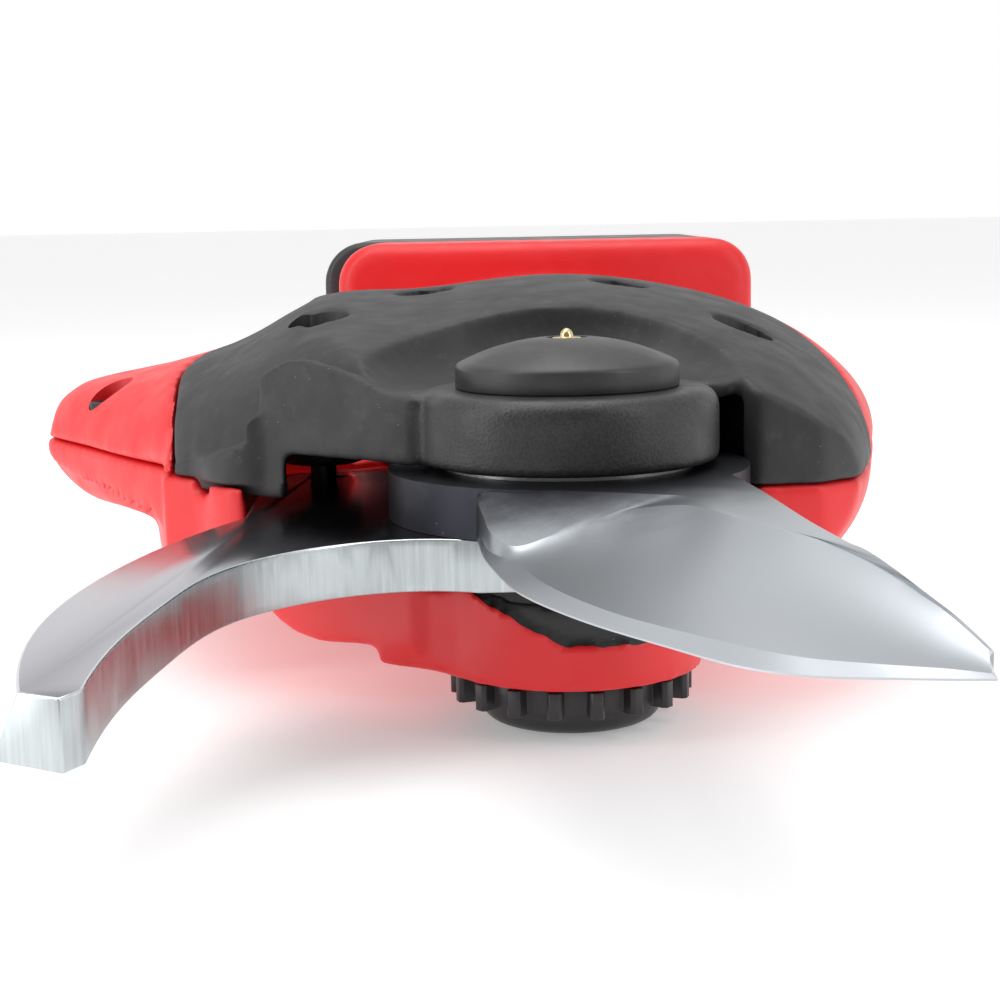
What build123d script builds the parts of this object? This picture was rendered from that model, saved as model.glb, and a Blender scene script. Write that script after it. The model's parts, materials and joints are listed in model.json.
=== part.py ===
"""Cordless bypass pruner: a battery tool whose curved blade swings past a fixed hook.

Everything is modelled about the blade's pivot. +Y runs back along the handle, +Z is up along the
pivot, and z = 0 is the plane where the moving blade slides on the hook. place() then shifts each
piece so that the origin is the middle of the tool's footprint, at the height it rests on.
Millimetres throughout.
"""

import os
from math import acos, cos, hypot, pi, radians, sin, tan

from build123d import *

# ---- extremes of the whole tool, which set the origin ----
GUARD_LEFT = -65.5
BODY_RIGHT = 40.0
TIP_FRONT = -70.0
BATTERY_REAR = 207.0
REST_Z = -20.7
SHIFT = (-(GUARD_LEFT + BODY_RIGHT) / 2, -(TIP_FRONT + BATTERY_REAR) / 2, -REST_Z)

# ---- pivot stack ----
BLADE_T = 4.9
HOOK_T = 5.0
HUB_R = 18.0
HUB_BACK_R = 15.4
BOLT_R = 5.0
BUSH_R = 6.5
RUN_FIT = 0.05
BOSS_R = 15.0
BOSS_BORE = 13.0
BOSS_TOP = 12.7
BOSS_LOW = 5.4
GATE_TOP = 10.6
DISH_FLOOR = 12.3
CAP_R = 11.1
CAP_RIM = 15.15
CAP_TOP = 17.6
COLLAR_R = 13.3
COLLAR_BOTTOM = -15.26
SEAT_BOTTOM = -11.5
SEAT_R = 12.4
KNOB_RIM_R = 12.2
KNOB_CROWN_R = 9.2
KNOB_TOP = -15.55
KNOB_FINS = 18

# ---- housing ----
PART_Z = 2.0
WALL = 2.4
SEAM = 0.12
# y, left x, right x, middle x, top z, bottom z, squareness of the section
STATIONS = [
    (-9.0, -40.0, 26.0, -3.0, 12.6, -12.8, 2.2),
    (8.0, -44.0, 31.0, -3.0, 16.6, -15.3, 2.1),
    (28.0, -46.0, 36.0, -2.0, 20.4, -17.4, 2.0),
    (50.0, -48.0, BODY_RIGHT, -2.0, 22.0, -18.6, 2.0),
    (66.0, -38.0, 38.0, 1.0, 20.8, -18.4, 2.1),
    (84.0, -21.5, 29.0, 3.0, 18.4, -17.6, 2.4),
    (108.0, -20.0, 24.5, 2.5, 17.6, -17.4, 2.5),
    (132.0, -22.0, 26.0, 1.0, 17.8, -17.6, 2.4),
    (148.0, -27.0, 31.0, 0.0, 19.0, -18.6, 2.6),
]
FOOT_Y = (142.0, 165.0)
FOOT_X = (-34.5, 38.0)
FOOT_Z = (-19.6, 24.6)
FOOT_ROUND = 7.0
# x, front y, back y, middle y, top z, bottom z: the guard's root, from the head out to its lobe
WING = [
    (-30.0, 8.0, 62.0, 36.0, 9.0, -5.0),
    (-41.0, 17.5, 62.0, 42.0, 11.8, -6.6),
    (-48.0, 28.5, 64.0, 47.0, 11.0, -6.4),
    (-55.0, 39.0, 68.0, 54.0, 10.2, -6.0),
    (-61.0, 48.5, 71.5, 60.0, 9.0, -5.0),
    (-64.4, 53.6, 71.5, 62.0, 6.8, -2.2),
    (GUARD_LEFT, 57.5, 67.0, 62.0, 4.2, 0.4),
]
# y, outer x, inner x, middle x, top z, bottom z: the guard's bow, back to the foot
BOW = [
    (60.0, -64.8, -50.5, -58.0, 9.2, -4.8),
    (76.0, -63.2, -51.0, -57.0, 9.0, -4.6),
    (96.0, -58.2, -46.6, -52.5, 9.0, -4.6),
    (122.0, -50.0, -38.2, -44.0, 9.4, -5.0),
    (148.0, -37.0, -25.0, -31.0, 10.5, -6.0),
]

# ---- drive ----
DRIVE_Z = 1.5
SECTOR_R = 22.0
PINION_TEETH = 10
SECTOR_EQUIV_TEETH = 40
BEVEL_MODULE = 1.1
FACE_SCALE = 0.75
SECTOR_TEETH_FROM = 85.5
SECTOR_TEETH = 8
PLANET_MODULE = 0.7
RING_TEETH = 33
SUN_TEETH = 9
PLANET_TEETH = 12
PLANET_ORBIT = PLANET_MODULE * (SUN_TEETH + PLANET_TEETH) / 2
RING_R = 13.4
MOTOR_R = 14.0
MOTOR_Y = (56.5, 98.0)
ROTOR_Y = (62.0, 92.0)
ROTOR_R = 9.0
MOTOR_SHAFT_R = 1.8
MOTOR_SCREW_X = (-8.5, 8.5)
PINION_SHAFT_R = 4.0
BEARING_Y = (26.2, 31.8)
RING_Y = (36.2, 52.0)
PLANET_Y = (40.2, 50.2)
PLANET_PIN_R = 1.5
PRESSURE = radians(25)
# angle and arc about the pivot that the gear sector needs clear behind the boss
SECTOR_SPACE = (20, 138)
SECTOR_PIN_R = 1.5
SECTOR_PIN_ORBIT = 10.0

# ---- screws: x, y ----
COVER_SCREWS_LOW = [(-27.0, 27.0), (21.0, 28.0)]
COVER_SCREWS_HIGH = [(-15.5, 42.0), (8.0, 42.0)]
# x, y, height of the head's seat, height of the tip
HOUSING_SCREWS = [
    (-55.0, 47.0, 5.4, -3.2),
    (-29.0, 150.0, 12.0, -10.0),
    (31.0, 150.0, 12.0, -10.0),
    (30.0, 62.0, 8.0, -11.5),
]
WELL_R = 3.3
HEAD_R = 2.7
SHANK_R = 1.5

# ---- controls: x, y ----
TRIGGER_PIN = (-17.2, 77.0)
TRIGGER_PIN_R = 1.25
TRIGGER_Z = (-4.2, 8.2)
POWER_BUTTON = (2.0, 122.9)
POWER_SIZE = 10.3
LENS = (2.0, 134.0)
LENS_R = 1.6

# ---- battery ----
BATTERY_Y = (165.4, BATTERY_REAR)
BATTERY_X = (-38.8, 38.0)
BATTERY_Z = (REST_Z, 24.6)
CASE_WALL = 1.8
CASE_END = 200.0
CELL_R = 9.1
CELL_L = 65.0
CELL_Y = (176.9, 195.3)
CELL_Z = (-7.6, 11.6)
TERMINAL_X = (-9.0, -3.0, 3.0, 9.0)
LATCH_Y = (173.0, 185.0)
LATCH_Z = (-6.0, 10.0)


def place(part):
    return Pos(*SHIFT) * part


def save(name, *parts):
    shape = parts[0]
    if len(parts) > 1:
        shape = Compound(children=[solid for part in parts for solid in part.solids()])
    moved = place(shape)
    moved.label = name
    export_step(moved, f"parts/{name}.step")


def tube_z(r_out, r_in, z0, z1, x=0.0, y=0.0):
    return Pos(x, y, z0) * extrude(Circle(r_out) - Circle(r_in), z1 - z0)


def rod_z(r, z0, z1, x=0.0, y=0.0):
    return Pos(x, y, z0) * extrude(Circle(r), z1 - z0)


def rod_y(r, y0, y1, x=0.0, z=DRIVE_Z):
    """A round bar along +Y from y0 to y1."""
    return Pos(x, y1, z) * (Rot(90, 0, 0) * extrude(Circle(r), y1 - y0))


def box(x0, x1, y0, y1, z0, z1):
    return Pos((x0 + x1) / 2, (y0 + y1) / 2, (z0 + z1) / 2) * Box(x1 - x0, y1 - y0, z1 - z0)


def rounded_box(x0, x1, y0, y1, z0, z1, radius):
    """A box whose four edges along Y are rounded."""
    outline = RectangleRounded(x1 - x0, z1 - z0, radius)
    return Pos((x0 + x1) / 2, y1, (z0 + z1) / 2) * (Rot(90, 0, 0) * extrude(outline, y1 - y0))


def prism(points, z0, z1):
    face = make_face(Polyline(*points, close=True))
    return Pos(0, 0, z0) * extrude(face, z1 - z0)


def spin_profile(points, start=0.0, arc=360.0):
    """Turns a closed (r, z) polygon about the pivot, from angle start through arc degrees."""
    face = make_face(Polyline(*[(r, 0, z) for r, z in points], close=True))
    return Rot(0, 0, start) * revolve(face, Axis.Z, arc)


# ---------------------------------------------------------------- housing


def arch_points(low, high, middle, top, bottom, square, upper, inset):
    """Points over half of a rounded section, as (across, height), from its high side to its low."""
    height = (top - PART_Z if upper else PART_Z - bottom) - inset
    sign = 1 if upper else -1
    points = []
    for step in range(9):
        t = pi * step / 8
        half_width = (high - middle if cos(t) > 0 else middle - low) - inset
        across = middle + half_width * abs(cos(t)) ** (2 / square) * (1 if cos(t) > 0 else -1)
        points.append((across, PART_Z + sign * height * max(sin(t), 0.0) ** (2 / square)))
    return points


def half_section(flat, to_space, upper, past=0.0):
    """A face from an arch's points, carried past the parting plane if asked."""
    sign = 1 if upper else -1
    points = [to_space(*p) for p in flat]
    arch = Spline(*points, tangents=[(0, 0, sign), (0, 0, -sign)])
    if past == 0.0:
        return make_face([arch, Line(points[-1], points[0])])
    low = [to_space(across, PART_Z - sign * past) for across in (flat[-1][0], flat[0][0])]
    return make_face([arch, Polyline(points[-1], *low, points[0])])


def hull(upper, inset, past=0.0):
    """Half of the housing's solid form, shrunk by inset and carried past the parting plane."""
    sections = []
    for y, left, right, middle, top, bottom, square in STATIONS:
        flat = arch_points(left, right, middle, top, bottom, square, upper, inset)
        sections.append(half_section(flat, lambda a, z, y=y: (a, y, z), upper, past))
    return loft(sections)


def guard_half(upper):
    """Half of the finger guard: a lobe at the front left, then a bow back to the foot."""
    wing = []
    for x, front, back, middle, top, bottom in WING:
        flat = arch_points(front, back, middle, top, bottom, 2.3, upper, 0.0)
        wing.append(half_section(flat, lambda a, z, x=x: (x, a, z), upper))
    bow = []
    for y, outer, inner, middle, top, bottom in BOW:
        flat = arch_points(outer, inner, middle, top, bottom, 2.3, upper, 0.0)
        bow.append(half_section(flat, lambda a, z, y=y: (a, y, z), upper))
    return loft(wing) + loft(bow)


def foot_half(upper):
    block = rounded_box(*FOOT_X, *FOOT_Y, *FOOT_Z, FOOT_ROUND)
    front = block.faces().sort_by(Axis.Y)[0]
    block = fillet(front.edges(), 3.0)
    block -= rounded_box(
        FOOT_X[0] + WALL, FOOT_X[1] - WALL, FOOT_Y[0] + WALL, FOOT_Y[1] + 5,
        FOOT_Z[0] + WALL, FOOT_Z[1] - WALL, FOOT_ROUND - WALL,
    )
    keep = box(-90, 60, 100, 170, PART_Z, 40) if upper else box(-90, 60, 100, 170, -40, PART_Z)
    return block & keep


def head_front(margin=0.0):
    """Plan of everything behind the head's front wall, which runs slanting beside the boss."""
    m = margin
    return [
        (-13.0 + m, -4.0 + m), (-15.5 - m, -5.0 + 1.3 * m), (-39.0, 14.5 + 1.3 * m), (-52.0, 24.0 + 1.3 * m),
        (-70, 40 + m), (-70, 170), (60, 170), (60, 30), (26.0 - m, 2.5 + m), (19.5 - m, 1.8 + m),
        (15.8 - m, 5.5 + m), (12.0, 6.0 + m), (0, 4.0 + m),
    ]


def shield(offset):
    """Plan of the black head cover, cut from the upper housing."""
    o = offset
    edge = Spline(
        (-42.0 - o, 10), (-43.4 - o, 26), (-44.4 - o, 40), (-41.0 - o, 54 + o), (-27 - o, 65 + o),
        (-8, 70.5 + o), (10, 69.5 + o), (23.5 + o, 61 + o), (31 + o, 48 + o), (34.2 + o, 34), (34.5 + o, 12),
        tangents=[(0, 1), (0, -1)],
    )
    front = Polyline((34.5 + o, 12), (34.5 + o, -40), (-42.0 - o, -40), (-42.0 - o, 10))
    return extrude(make_face([edge, front]), 60)


def dish():
    """The hollow that is scooped out around the pivot cap."""
    profile = make_face(
        [
            Polyline((0, 0, 45), (0, 0, BOSS_TOP), (15.2, 0, BOSS_TOP)),
            Polyline((15.2, 0, BOSS_TOP), (15.5, 0, DISH_FLOOR), (16.6, 0, DISH_FLOOR)),
            ThreePointArc((16.6, 0, DISH_FLOOR), (20.0, 0, 13.8), (22.4, 0, 17.8)),
            Polyline((22.4, 0, 17.8), (24.5, 0, 45), (0, 0, 45)),
        ]
    )
    return revolve(profile, Axis.Z)


def upper_cavity():
    inner = hull(True, WALL, 1.0) & prism(head_front(WALL), 0, 40)
    inner -= Pos(0, 0, GATE_TOP - DISH_FLOOR) * dish()
    inner += motor_space()
    reach = SECTOR_R + 1.5
    sweep = spin_profile([(0, 0), (reach, 0), (reach, GATE_TOP), (0, GATE_TOP)], *SECTOR_SPACE)
    return inner + (sweep & prism(head_front(0), 0, 40))


def side_groove():
    """The deep recess between the boss and the head's right shoulder."""
    return spin_profile([(15.0, 5.0), (18.2, 5.0), (19.2, 30), (15.0, 30)], -30, 46)


def upper_whole():
    """Head, handle, guard and foot above the parting plane, hollowed out."""
    body = hull(True, 0) & prism(head_front(), 0, 40)
    body += guard_half(True)
    body -= upper_cavity()
    body -= box(FOOT_X[0] + WALL, FOOT_X[1] - WALL, FOOT_Y[0] + WALL, 200, -30, FOOT_Z[1] - WALL - 3)
    body += foot_half(True)
    body -= Pos(0, 0, -10) * spin_profile([(0, 0), (15.4, 0), (15.4, 60), (0, 60)])
    return body - dish() - side_groove()


def boss():
    """The round boss over the blade's hub, open behind where the gear sector swings."""
    wall = tube_z(BOSS_R, BOSS_BORE, BOSS_LOW, BOSS_TOP)
    roof = tube_z(BOSS_BORE, 9.2, GATE_TOP + 0.5, BOSS_TOP)
    outer_edge = wall.edges().filter_by(GeomType.CIRCLE).group_by(Axis.Z)[-1].sort_by(SortBy.RADIUS)[-1]
    wall = fillet([outer_edge], 1.9)
    return (wall + roof) - gate()


def gate():
    """The space behind the boss that the gear sector swings through."""
    return spin_profile([(8, 5), (20, 5), (20, GATE_TOP), (8, GATE_TOP)], *SECTOR_SPACE)


def screw_post(x, y, z0, z1):
    return rod_z(WELL_R + 1.5, z0, z1, x, y)


def head_cover(whole):
    cover = whole & shield(0)
    link = tube_z(15.6, 14.2, BOSS_LOW + 0.7, BOSS_TOP - 0.5) & prism(head_front(), 0, 40)
    cover += boss() + link - gate()
    ceiling = hull(True, 0.2) & prism(head_front(0.4), 0, 40)
    for x, y in COVER_SCREWS_LOW:
        cover += screw_post(x, y, 0.05, 40) & ceiling
        cover -= rod_z(WELL_R, 8.5, 60, x, y)
        cover -= rod_z(SHANK_R + 0.1, -5, 20, x, y)
    for x, y in COVER_SCREWS_HIGH:
        cover += screw_post(x, y, 15.3, 40) & ceiling
        cover -= rod_z(WELL_R, 17.0, 60, x, y)
        cover -= rod_z(SHANK_R + 0.1, 10, 20, x, y)
    tongue = prism([(-39.4, 14.9), (-29.5, 6.6), (-28.0, 8.6), (-38.0, 16.8)], 0.7, PART_Z + 0.5)
    cover += tongue
    mouth = prism([(-29, 4.4), (-29, 20), (-10, 20), (-10, -10), (-29, -10)], -1, BOSS_LOW + 0.1)
    cover -= mouth
    return cover - rod_z(HUB_R + 0.4, -2, BOSS_LOW)


def upper_shell(whole):
    shell = whole - shield(SEAM)
    form = hull(True, 0.3) + foot_solid(0.3) + guard_half(True)
    for x, y, seat, _ in HOUSING_SCREWS:
        shell += (screw_post(x, y, PART_Z, 40) & form) - shield(SEAM)
        shell -= rod_z(WELL_R - 0.5, seat, 60, x, y)
        shell -= rod_z(SHANK_R + 0.1, -5, 20, x, y)
    shell += rod_z(3.6, 8.0, 40, *TRIGGER_PIN) & hull(True, 0.3)
    shell -= trigger_slot()
    shell -= rod_z(3.3, 8.0, 11.8, *TRIGGER_PIN)
    shell -= rod_z(TRIGGER_PIN_R, 8.0, 13.6, *TRIGGER_PIN)
    shell -= Pos(*POWER_BUTTON, 20) * Box(POWER_SIZE + 0.6, POWER_SIZE + 0.7, 20)
    shell -= rod_z(LENS_R + 0.1, 10, 30, *LENS)
    return shell - grip_zone(True)


def foot_solid(inset):
    return rounded_box(
        FOOT_X[0] + inset, FOOT_X[1] - inset, FOOT_Y[0] + inset, FOOT_Y[1],
        FOOT_Z[0] + inset, FOOT_Z[1] - inset, FOOT_ROUND - inset,
    )


def trigger_slot():
    return box(-30, -14, 74.0, 107.0, -4.6, 8.6)


def motor_space():
    return rod_y(MOTOR_R + 0.35, 60, MOTOR_Y[1] + 1.5)


def lower_cavity():
    return (hull(False, WALL, 1.0) & prism(head_front(WALL), -40, 10)) + motor_space()


def pivot_column():
    """The round collar that carries the pivot, with a pad on its left."""
    collar = rod_z(COLLAR_R, COLLAR_BOTTOM, -5.3)
    pad = prism([(-19.5, -1.5), (-15.9, -3.6), (-10, -8), (-6, 4), (-18, 6)], -15.1, -6.5)
    return collar + pad


def lower_shell():
    body = hull(False, 0) & prism(head_front(), -40, 10)
    body += guard_half(False)
    body -= lower_cavity()
    body -= box(FOOT_X[0] + WALL, FOOT_X[1] - WALL, FOOT_Y[0] + WALL, 200, FOOT_Z[0] + WALL + 3, 30)
    body += foot_half(False)
    body += pivot_column()
    body -= rod_z(SEAT_R + RUN_FIT, SEAT_BOTTOM, 10)
    slant = box(-17, 17, -17, 2, -7.0, 8)
    body -= Rot(0, 7, 0) * (slant & tube_z(13.8, 12.0, -9.5, 8))
    body -= rod_z(KNOB_RIM_R + 0.7, -30, COLLAR_BOTTOM)
    body -= rod_z(HUB_R + 0.4, -0.3, 10)
    body -= prism([(-40.4, 14.0), (-29.0, 5.0), (-27.0, 8.9), (-38.0, 18.0)], 0.5, PART_Z + 1)
    body -= rod_z(BOLT_R + 0.15, -30, 0)
    body -= rod_z(8.6, -30, -13.6)
    body -= Pos(0, 0, -HOOK_T - 0.25) * extrude(make_face(hook_slot()), HOOK_T + 0.25 + PART_Z)
    for x, y in COVER_SCREWS_LOW:
        body += screw_post(x, y, -16, -HOOK_T - 0.05)
        body -= rod_z(SHANK_R, -13, 0, x, y)
    form = hull(False, 0.3) + foot_solid(0.3) + guard_half(False)
    for x, y, _, tip in HOUSING_SCREWS:
        body += screw_post(x, y, -30, PART_Z - 0.05) & form
        body -= rod_z(SHANK_R, tip - 0.4, 20, x, y)
    body += rod_z(3.6, -40, -4.0, *TRIGGER_PIN) & hull(False, 0.3)
    body -= trigger_slot()
    body -= rod_z(TRIGGER_PIN_R, -8.0, 0, *TRIGGER_PIN)
    return body - grip_zone(False)


def hook_slot():
    return Polyline(
        (-20, -30), (-35.6, -4), (-33.6, 8.5), (-34.5, 24), (-31.5, 34), (-19, 34), (-16.5, 20.2), (16, 20.2),
        (16.5, 35), (27.5, 35), (28, 22), (19, 8), (19, -30), close=True
    )


def grip_zone(upper):
    """The layer of the handle's right side that the soft grip fills."""
    return (hull(upper, -0.5, 1.0) & grip_span(upper, 0)) - hull(upper, 1.0, 1.0)


def grip_span(upper, margin):
    m = margin
    if upper:
        return box(9 + m, 60, 80 + m, 136 - m, PART_Z + m / 2, 40)
    return box(9 + m, 60, 80 + m, 136 - m, -40, PART_Z - m / 2)


def grip_pad(upper):
    return (hull(upper, 0, 1.0) & grip_span(upper, 0.15)) - hull(upper, 0.95, 1.0)


# ---------------------------------------------------------------- blades


def cutting_blade():
    """Ground in sections: edge, bevel top and spine. The bevel reaches the spine near the tip."""
    sections = [
        ((-9.1, -15.6), (-8.9, -16.0), (15.2, -10.0), BLADE_T),
        ((-8.8, -19.0), (-3.4, -17.2), (15.8, -14.0), BLADE_T),
        ((-8.3, -25.0), (3.6, -20.2), (16.3, -19.0), BLADE_T),
        ((-7.5, -31.2), (8.6, -24.2), (16.8, -25.0), BLADE_T),
        ((-6.0, -38.6), (10.8, -30.5), (17.4, -32.0), BLADE_T),
        ((-2.4, -48.9), (14.4, -39.6), (18.2, -40.5), BLADE_T),
        ((2.6, -57.8), (17.4, -45.0), (19.2, -46.5), BLADE_T),
        ((8.0, -65.0), (19.9, -51.4), (20.4, -51.6), 4.5),
        ((13.0, -68.3), (21.3, -56.8), (21.8, -56.9), 3.9),
        ((18.3, -69.4), (23.0, -62.0), (23.5, -62.0), 2.9),
        ((24.0, -69.95), (24.3, -66.6), (24.8, -66.6), 2.0),
    ]
    faces = []
    for edge, bevel, spine, height in sections:
        ring = [(*edge, 0), (*edge, 0.25), (*bevel, height), (*spine, height), (*spine, 0)]
        plane = section_plane(ring)
        faces.append(make_face(Polyline(*[plane_point(plane, p) for p in ring], close=True)))
    front = loft(faces, ruled=True)
    root = prism([(-9.1, -15.6), (15.2, -10.0), (14.7, -6.6), (0, -2), (-13, -9)], 0, BLADE_T)
    blade = rod_z(HUB_R, 0, BLADE_T) + root + front
    blade -= spin_profile([(HUB_BACK_R, -1), (30, -1), (30, 9), (HUB_BACK_R, 9)], 22, 146)
    blade -= rod_z(BUSH_R, -1, 9)
    for x, y in sector_pin_places():
        blade -= rod_z(SECTOR_PIN_R, 1.2, 9, x, y)
    return blade


def section_plane(ring):
    """The upright plane through a section's edge and spine."""
    (x0, y0, _), (x1, y1, _) = ring[0], ring[3]
    length = hypot(x1 - x0, y1 - y0)
    return (x0, y0, (x1 - x0) / length, (y1 - y0) / length)


def plane_point(plane, point):
    """Moves a point square onto the section's plane, so that the section is flat."""
    x0, y0, ux, uy = plane
    along = (point[0] - x0) * ux + (point[1] - y0) * uy
    return (x0 + along * ux, y0 + along * uy, point[2])


def counter_blade():
    """The fixed hook: a curved beak with a bevelled outer edge, on a plate clamped in the head."""
    inner = Spline(
        (-9, -15.2), (-16.7, -14.2), (-23.5, -17.4), (-29.8, -25.2), (-33.2, -40), (-34.4, -54), (-34.0, -67.5)
    )
    tip = Polyline((-34.0, -67.5), (-35.0, -69.6), (-40.0, -66.6))
    outer = Spline((-40.0, -66.6), (-42.4, -55), (-43.2, -43), (-42.3, -30), (-38.6, -12), (-32.6, 4))
    plate = Polyline(
        (-32.6, 4), (-33.2, 22), (-30.5, 32.5), (-20, 32.5), (-18, 18.6), (-9, 14.2), (9, 14.2), (17.2, 20),
        (17.6, 33), (26, 33), (26.5, 23), (16.5, 4), (15.5, -7), (5, -15), (-9, -15.2)
    )
    solid = Pos(0, 0, -HOOK_T) * extrude(make_face([inner, tip, outer, plate]), HOOK_T)
    upper_edges = solid.edges().filter_by(GeomType.BSPLINE).group_by(Axis.Z)[-1]
    outer_wall = [edge for edge in upper_edges if edge.center().X < -36]
    solid = chamfer(outer_wall, 1.5, 3.8, reference=solid.faces().sort_by(Axis.Z)[-1])
    solid -= rod_z(BOLT_R + 0.01, -9, 3)
    for x, y in COVER_SCREWS_LOW:
        solid -= rod_z(SHANK_R + 0.1, -9, 3, x, y)
    return solid


def sector_pin_places():
    orbit = SECTOR_PIN_ORBIT
    return [(orbit * cos(radians(a)), orbit * sin(radians(a))) for a in (60, 180, 300)]


def sector_pins():
    return [rod_z(SECTOR_PIN_R, 1.2, 9.25, x, y) for x, y in sector_pin_places()]


def cone_z(r, rise):
    """Height at radius r of a cone line through the drive's apex, given its height at the heel."""
    return DRIVE_Z + rise * r / SECTOR_R


def drive_sector():
    """Bevel gear sector on top of the blade's hub, its teeth facing down to the pinion."""
    pitch_rise = SECTOR_R * PINION_TEETH / SECTOR_EQUIV_TEETH
    addendum = 0.8 * BEVEL_MODULE
    dedendum = 1.15 * BEVEL_MODULE
    hub = rod_z(12.6, BLADE_T + 0.02, 9.3)
    root = pitch_rise + dedendum
    toe = SECTOR_R * FACE_SCALE
    rim = SECTOR_R + 0.5
    plate = spin_profile(
        [(9, BLADE_T + 0.02), (15.3, BLADE_T + 0.02), (toe - 0.3, cone_z(toe, root)),
         (rim, cone_z(rim, root)), (rim, 10.3), (12.9, 10.3), (12.4, 9.3), (9, 9.3)],
        SECTOR_TEETH_FROM - 6.5, 9 * (SECTOR_TEETH - 1) + 13,
    )
    half = pi * BEVEL_MODULE / 4 - 0.06
    tip_half = half - addendum * tan(PRESSURE)
    root_half = half + (dedendum + 0.25) * tan(PRESSURE)
    outer = [(-tip_half, pitch_rise - addendum), (tip_half, pitch_rise - addendum),
             (root_half, pitch_rise + dedendum + 0.25), (-root_half, pitch_rise + dedendum + 0.25)]
    heel = make_face(Polyline(*[(SECTOR_R, x, DRIVE_Z + z) for x, z in outer], close=True))
    toe_face = make_face(
        Polyline(*[(toe, x * FACE_SCALE, DRIVE_Z + z * FACE_SCALE) for x, z in outer], close=True)
    )
    tooth = loft([heel, toe_face], ruled=True)
    gear = hub + plate
    for k in range(SECTOR_TEETH):
        gear += Rot(0, 0, SECTOR_TEETH_FROM + 9 * k) * tooth
    gear -= rod_z(BOLT_R + RUN_FIT, 0, 20)
    for x, y in sector_pin_places():
        gear -= rod_z(SECTOR_PIN_R, 0, 20, x, y)
    return gear


def involute_points(teeth, module, outer, root, thickness_change, turn=0.0, scale=1.0):
    """Outline of a spur gear as points, tooth by tooth, with involute flanks."""
    pitch = module * teeth / 2
    base = pitch * cos(PRESSURE)
    inv = tan(PRESSURE) - PRESSURE
    half_pitch = pi / (2 * teeth) + thickness_change / (2 * pitch)
    start = max(base, root)
    radii = [start + (outer - start) * i / 4 for i in range(5)]
    flank = [(root, half_pitch + inv)] if root < base else []
    for r in radii:
        a = acos(min(base / r, 1.0))
        flank.append((r, half_pitch + inv - (tan(a) - a)))
    points = []
    for k in range(teeth):
        middle = turn + 2 * pi * k / teeth
        for r, a in flank:
            points.append((scale * r * cos(middle - a), scale * r * sin(middle - a)))
        for r, a in reversed(flank):
            points.append((scale * r * cos(middle + a), scale * r * sin(middle + a)))
    return points


def bevel_pinion():
    """Ten-tooth bevel pinion on its shaft, tapering towards the point where the two axes meet."""
    pitch = SECTOR_R * PINION_TEETH / SECTOR_EQUIV_TEETH
    outer = pitch + 0.8 * BEVEL_MODULE
    root = pitch - 1.2 * BEVEL_MODULE
    faces = []
    for y, scale in ((SECTOR_R, 1.0), (SECTOR_R * FACE_SCALE, FACE_SCALE)):
        ring = involute_points(PINION_TEETH, BEVEL_MODULE, outer, root, -0.12, pi / 2, scale)
        faces.append(make_face(Polyline(*[(x, y, DRIVE_Z + z) for x, z in ring], close=True)))
    pinion = loft(faces, ruled=True)
    shaft = rod_y(PINION_SHAFT_R, SECTOR_R - 0.01, 36.0)
    return pinion + shaft + rod_y(PINION_SHAFT_R - 0.9, 35.9, 39.0)


def pinion_bearing():
    """Ball bearing on the pinion shaft: two races and a ring of balls, all separate."""
    inner = rod_y(5.2, *BEARING_Y) - rod_y(PINION_SHAFT_R + RUN_FIT, 20, 40)
    outer = rod_y(8.0, *BEARING_Y) - rod_y(6.9, 20, 40)
    balls = []
    for k in range(9):
        a = 2 * pi * k / 9
        balls.append(Pos(6.05 * cos(a), sum(BEARING_Y) / 2, DRIVE_Z + 6.05 * sin(a)) * Sphere(0.8))
    return [inner, outer] + balls


def spur(teeth, y0, y1, x=0.0, z=DRIVE_Z, turn=0.0):
    outer = PLANET_MODULE * (teeth / 2 + 0.8)
    root = PLANET_MODULE * (teeth / 2 - 1.15)
    ring = involute_points(teeth, PLANET_MODULE, outer, root, -0.10, turn)
    face = make_face(Polyline(*[(x + px, y1, z + pz) for px, pz in ring], close=True))
    return extrude(face, y1 - y0, dir=(0, -1, 0))


def planet_place(k):
    a = pi / 2 + 2 * pi * k / 3
    return a, PLANET_ORBIT * cos(a), DRIVE_Z + PLANET_ORBIT * sin(a)


def planet_gear(k):
    angle, x, z = planet_place(k)
    return spur(PLANET_TEETH, *PLANET_Y, x, z, angle) - rod_y(PLANET_PIN_R + RUN_FIT, 30, 60, x, z)


def planet_carrier():
    disc = rod_y(10.4, 36.6, 39.9) - rod_y(PINION_SHAFT_R - 0.9, 30, 45)
    for k in range(3):
        _, x, z = planet_place(k)
        disc += rod_y(PLANET_PIN_R, 39.8, 51.0, x, z)
    return disc


def ring_gear():
    """Fixed internal gear, 33 teeth, that the three planets run in."""
    spaces = involute_points(
        RING_TEETH, PLANET_MODULE, PLANET_MODULE * (RING_TEETH / 2 + 1.15),
        PLANET_MODULE * (RING_TEETH / 2 - 0.8), 0.10, pi / 2,
    )
    cutter = make_face(Polyline(*[(x, 52.5, DRIVE_Z + z) for x, z in spaces], close=True))
    body = rod_y(RING_R, *RING_Y)
    body -= extrude(cutter, 12.8, dir=(0, -1, 0))
    return body - rod_y(11.0, 30, 40.0)


def motor_rotor():
    """Motor shaft with the sun gear cut on its end and the rotor inside the can."""
    sun = spur(SUN_TEETH, 40.4, 50.6, turn=pi / 2 + pi / SUN_TEETH)
    shaft = rod_y(MOTOR_SHAFT_R, 50.4, 100.0)
    return sun + shaft + rod_y(ROTOR_R, *ROTOR_Y)


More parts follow.
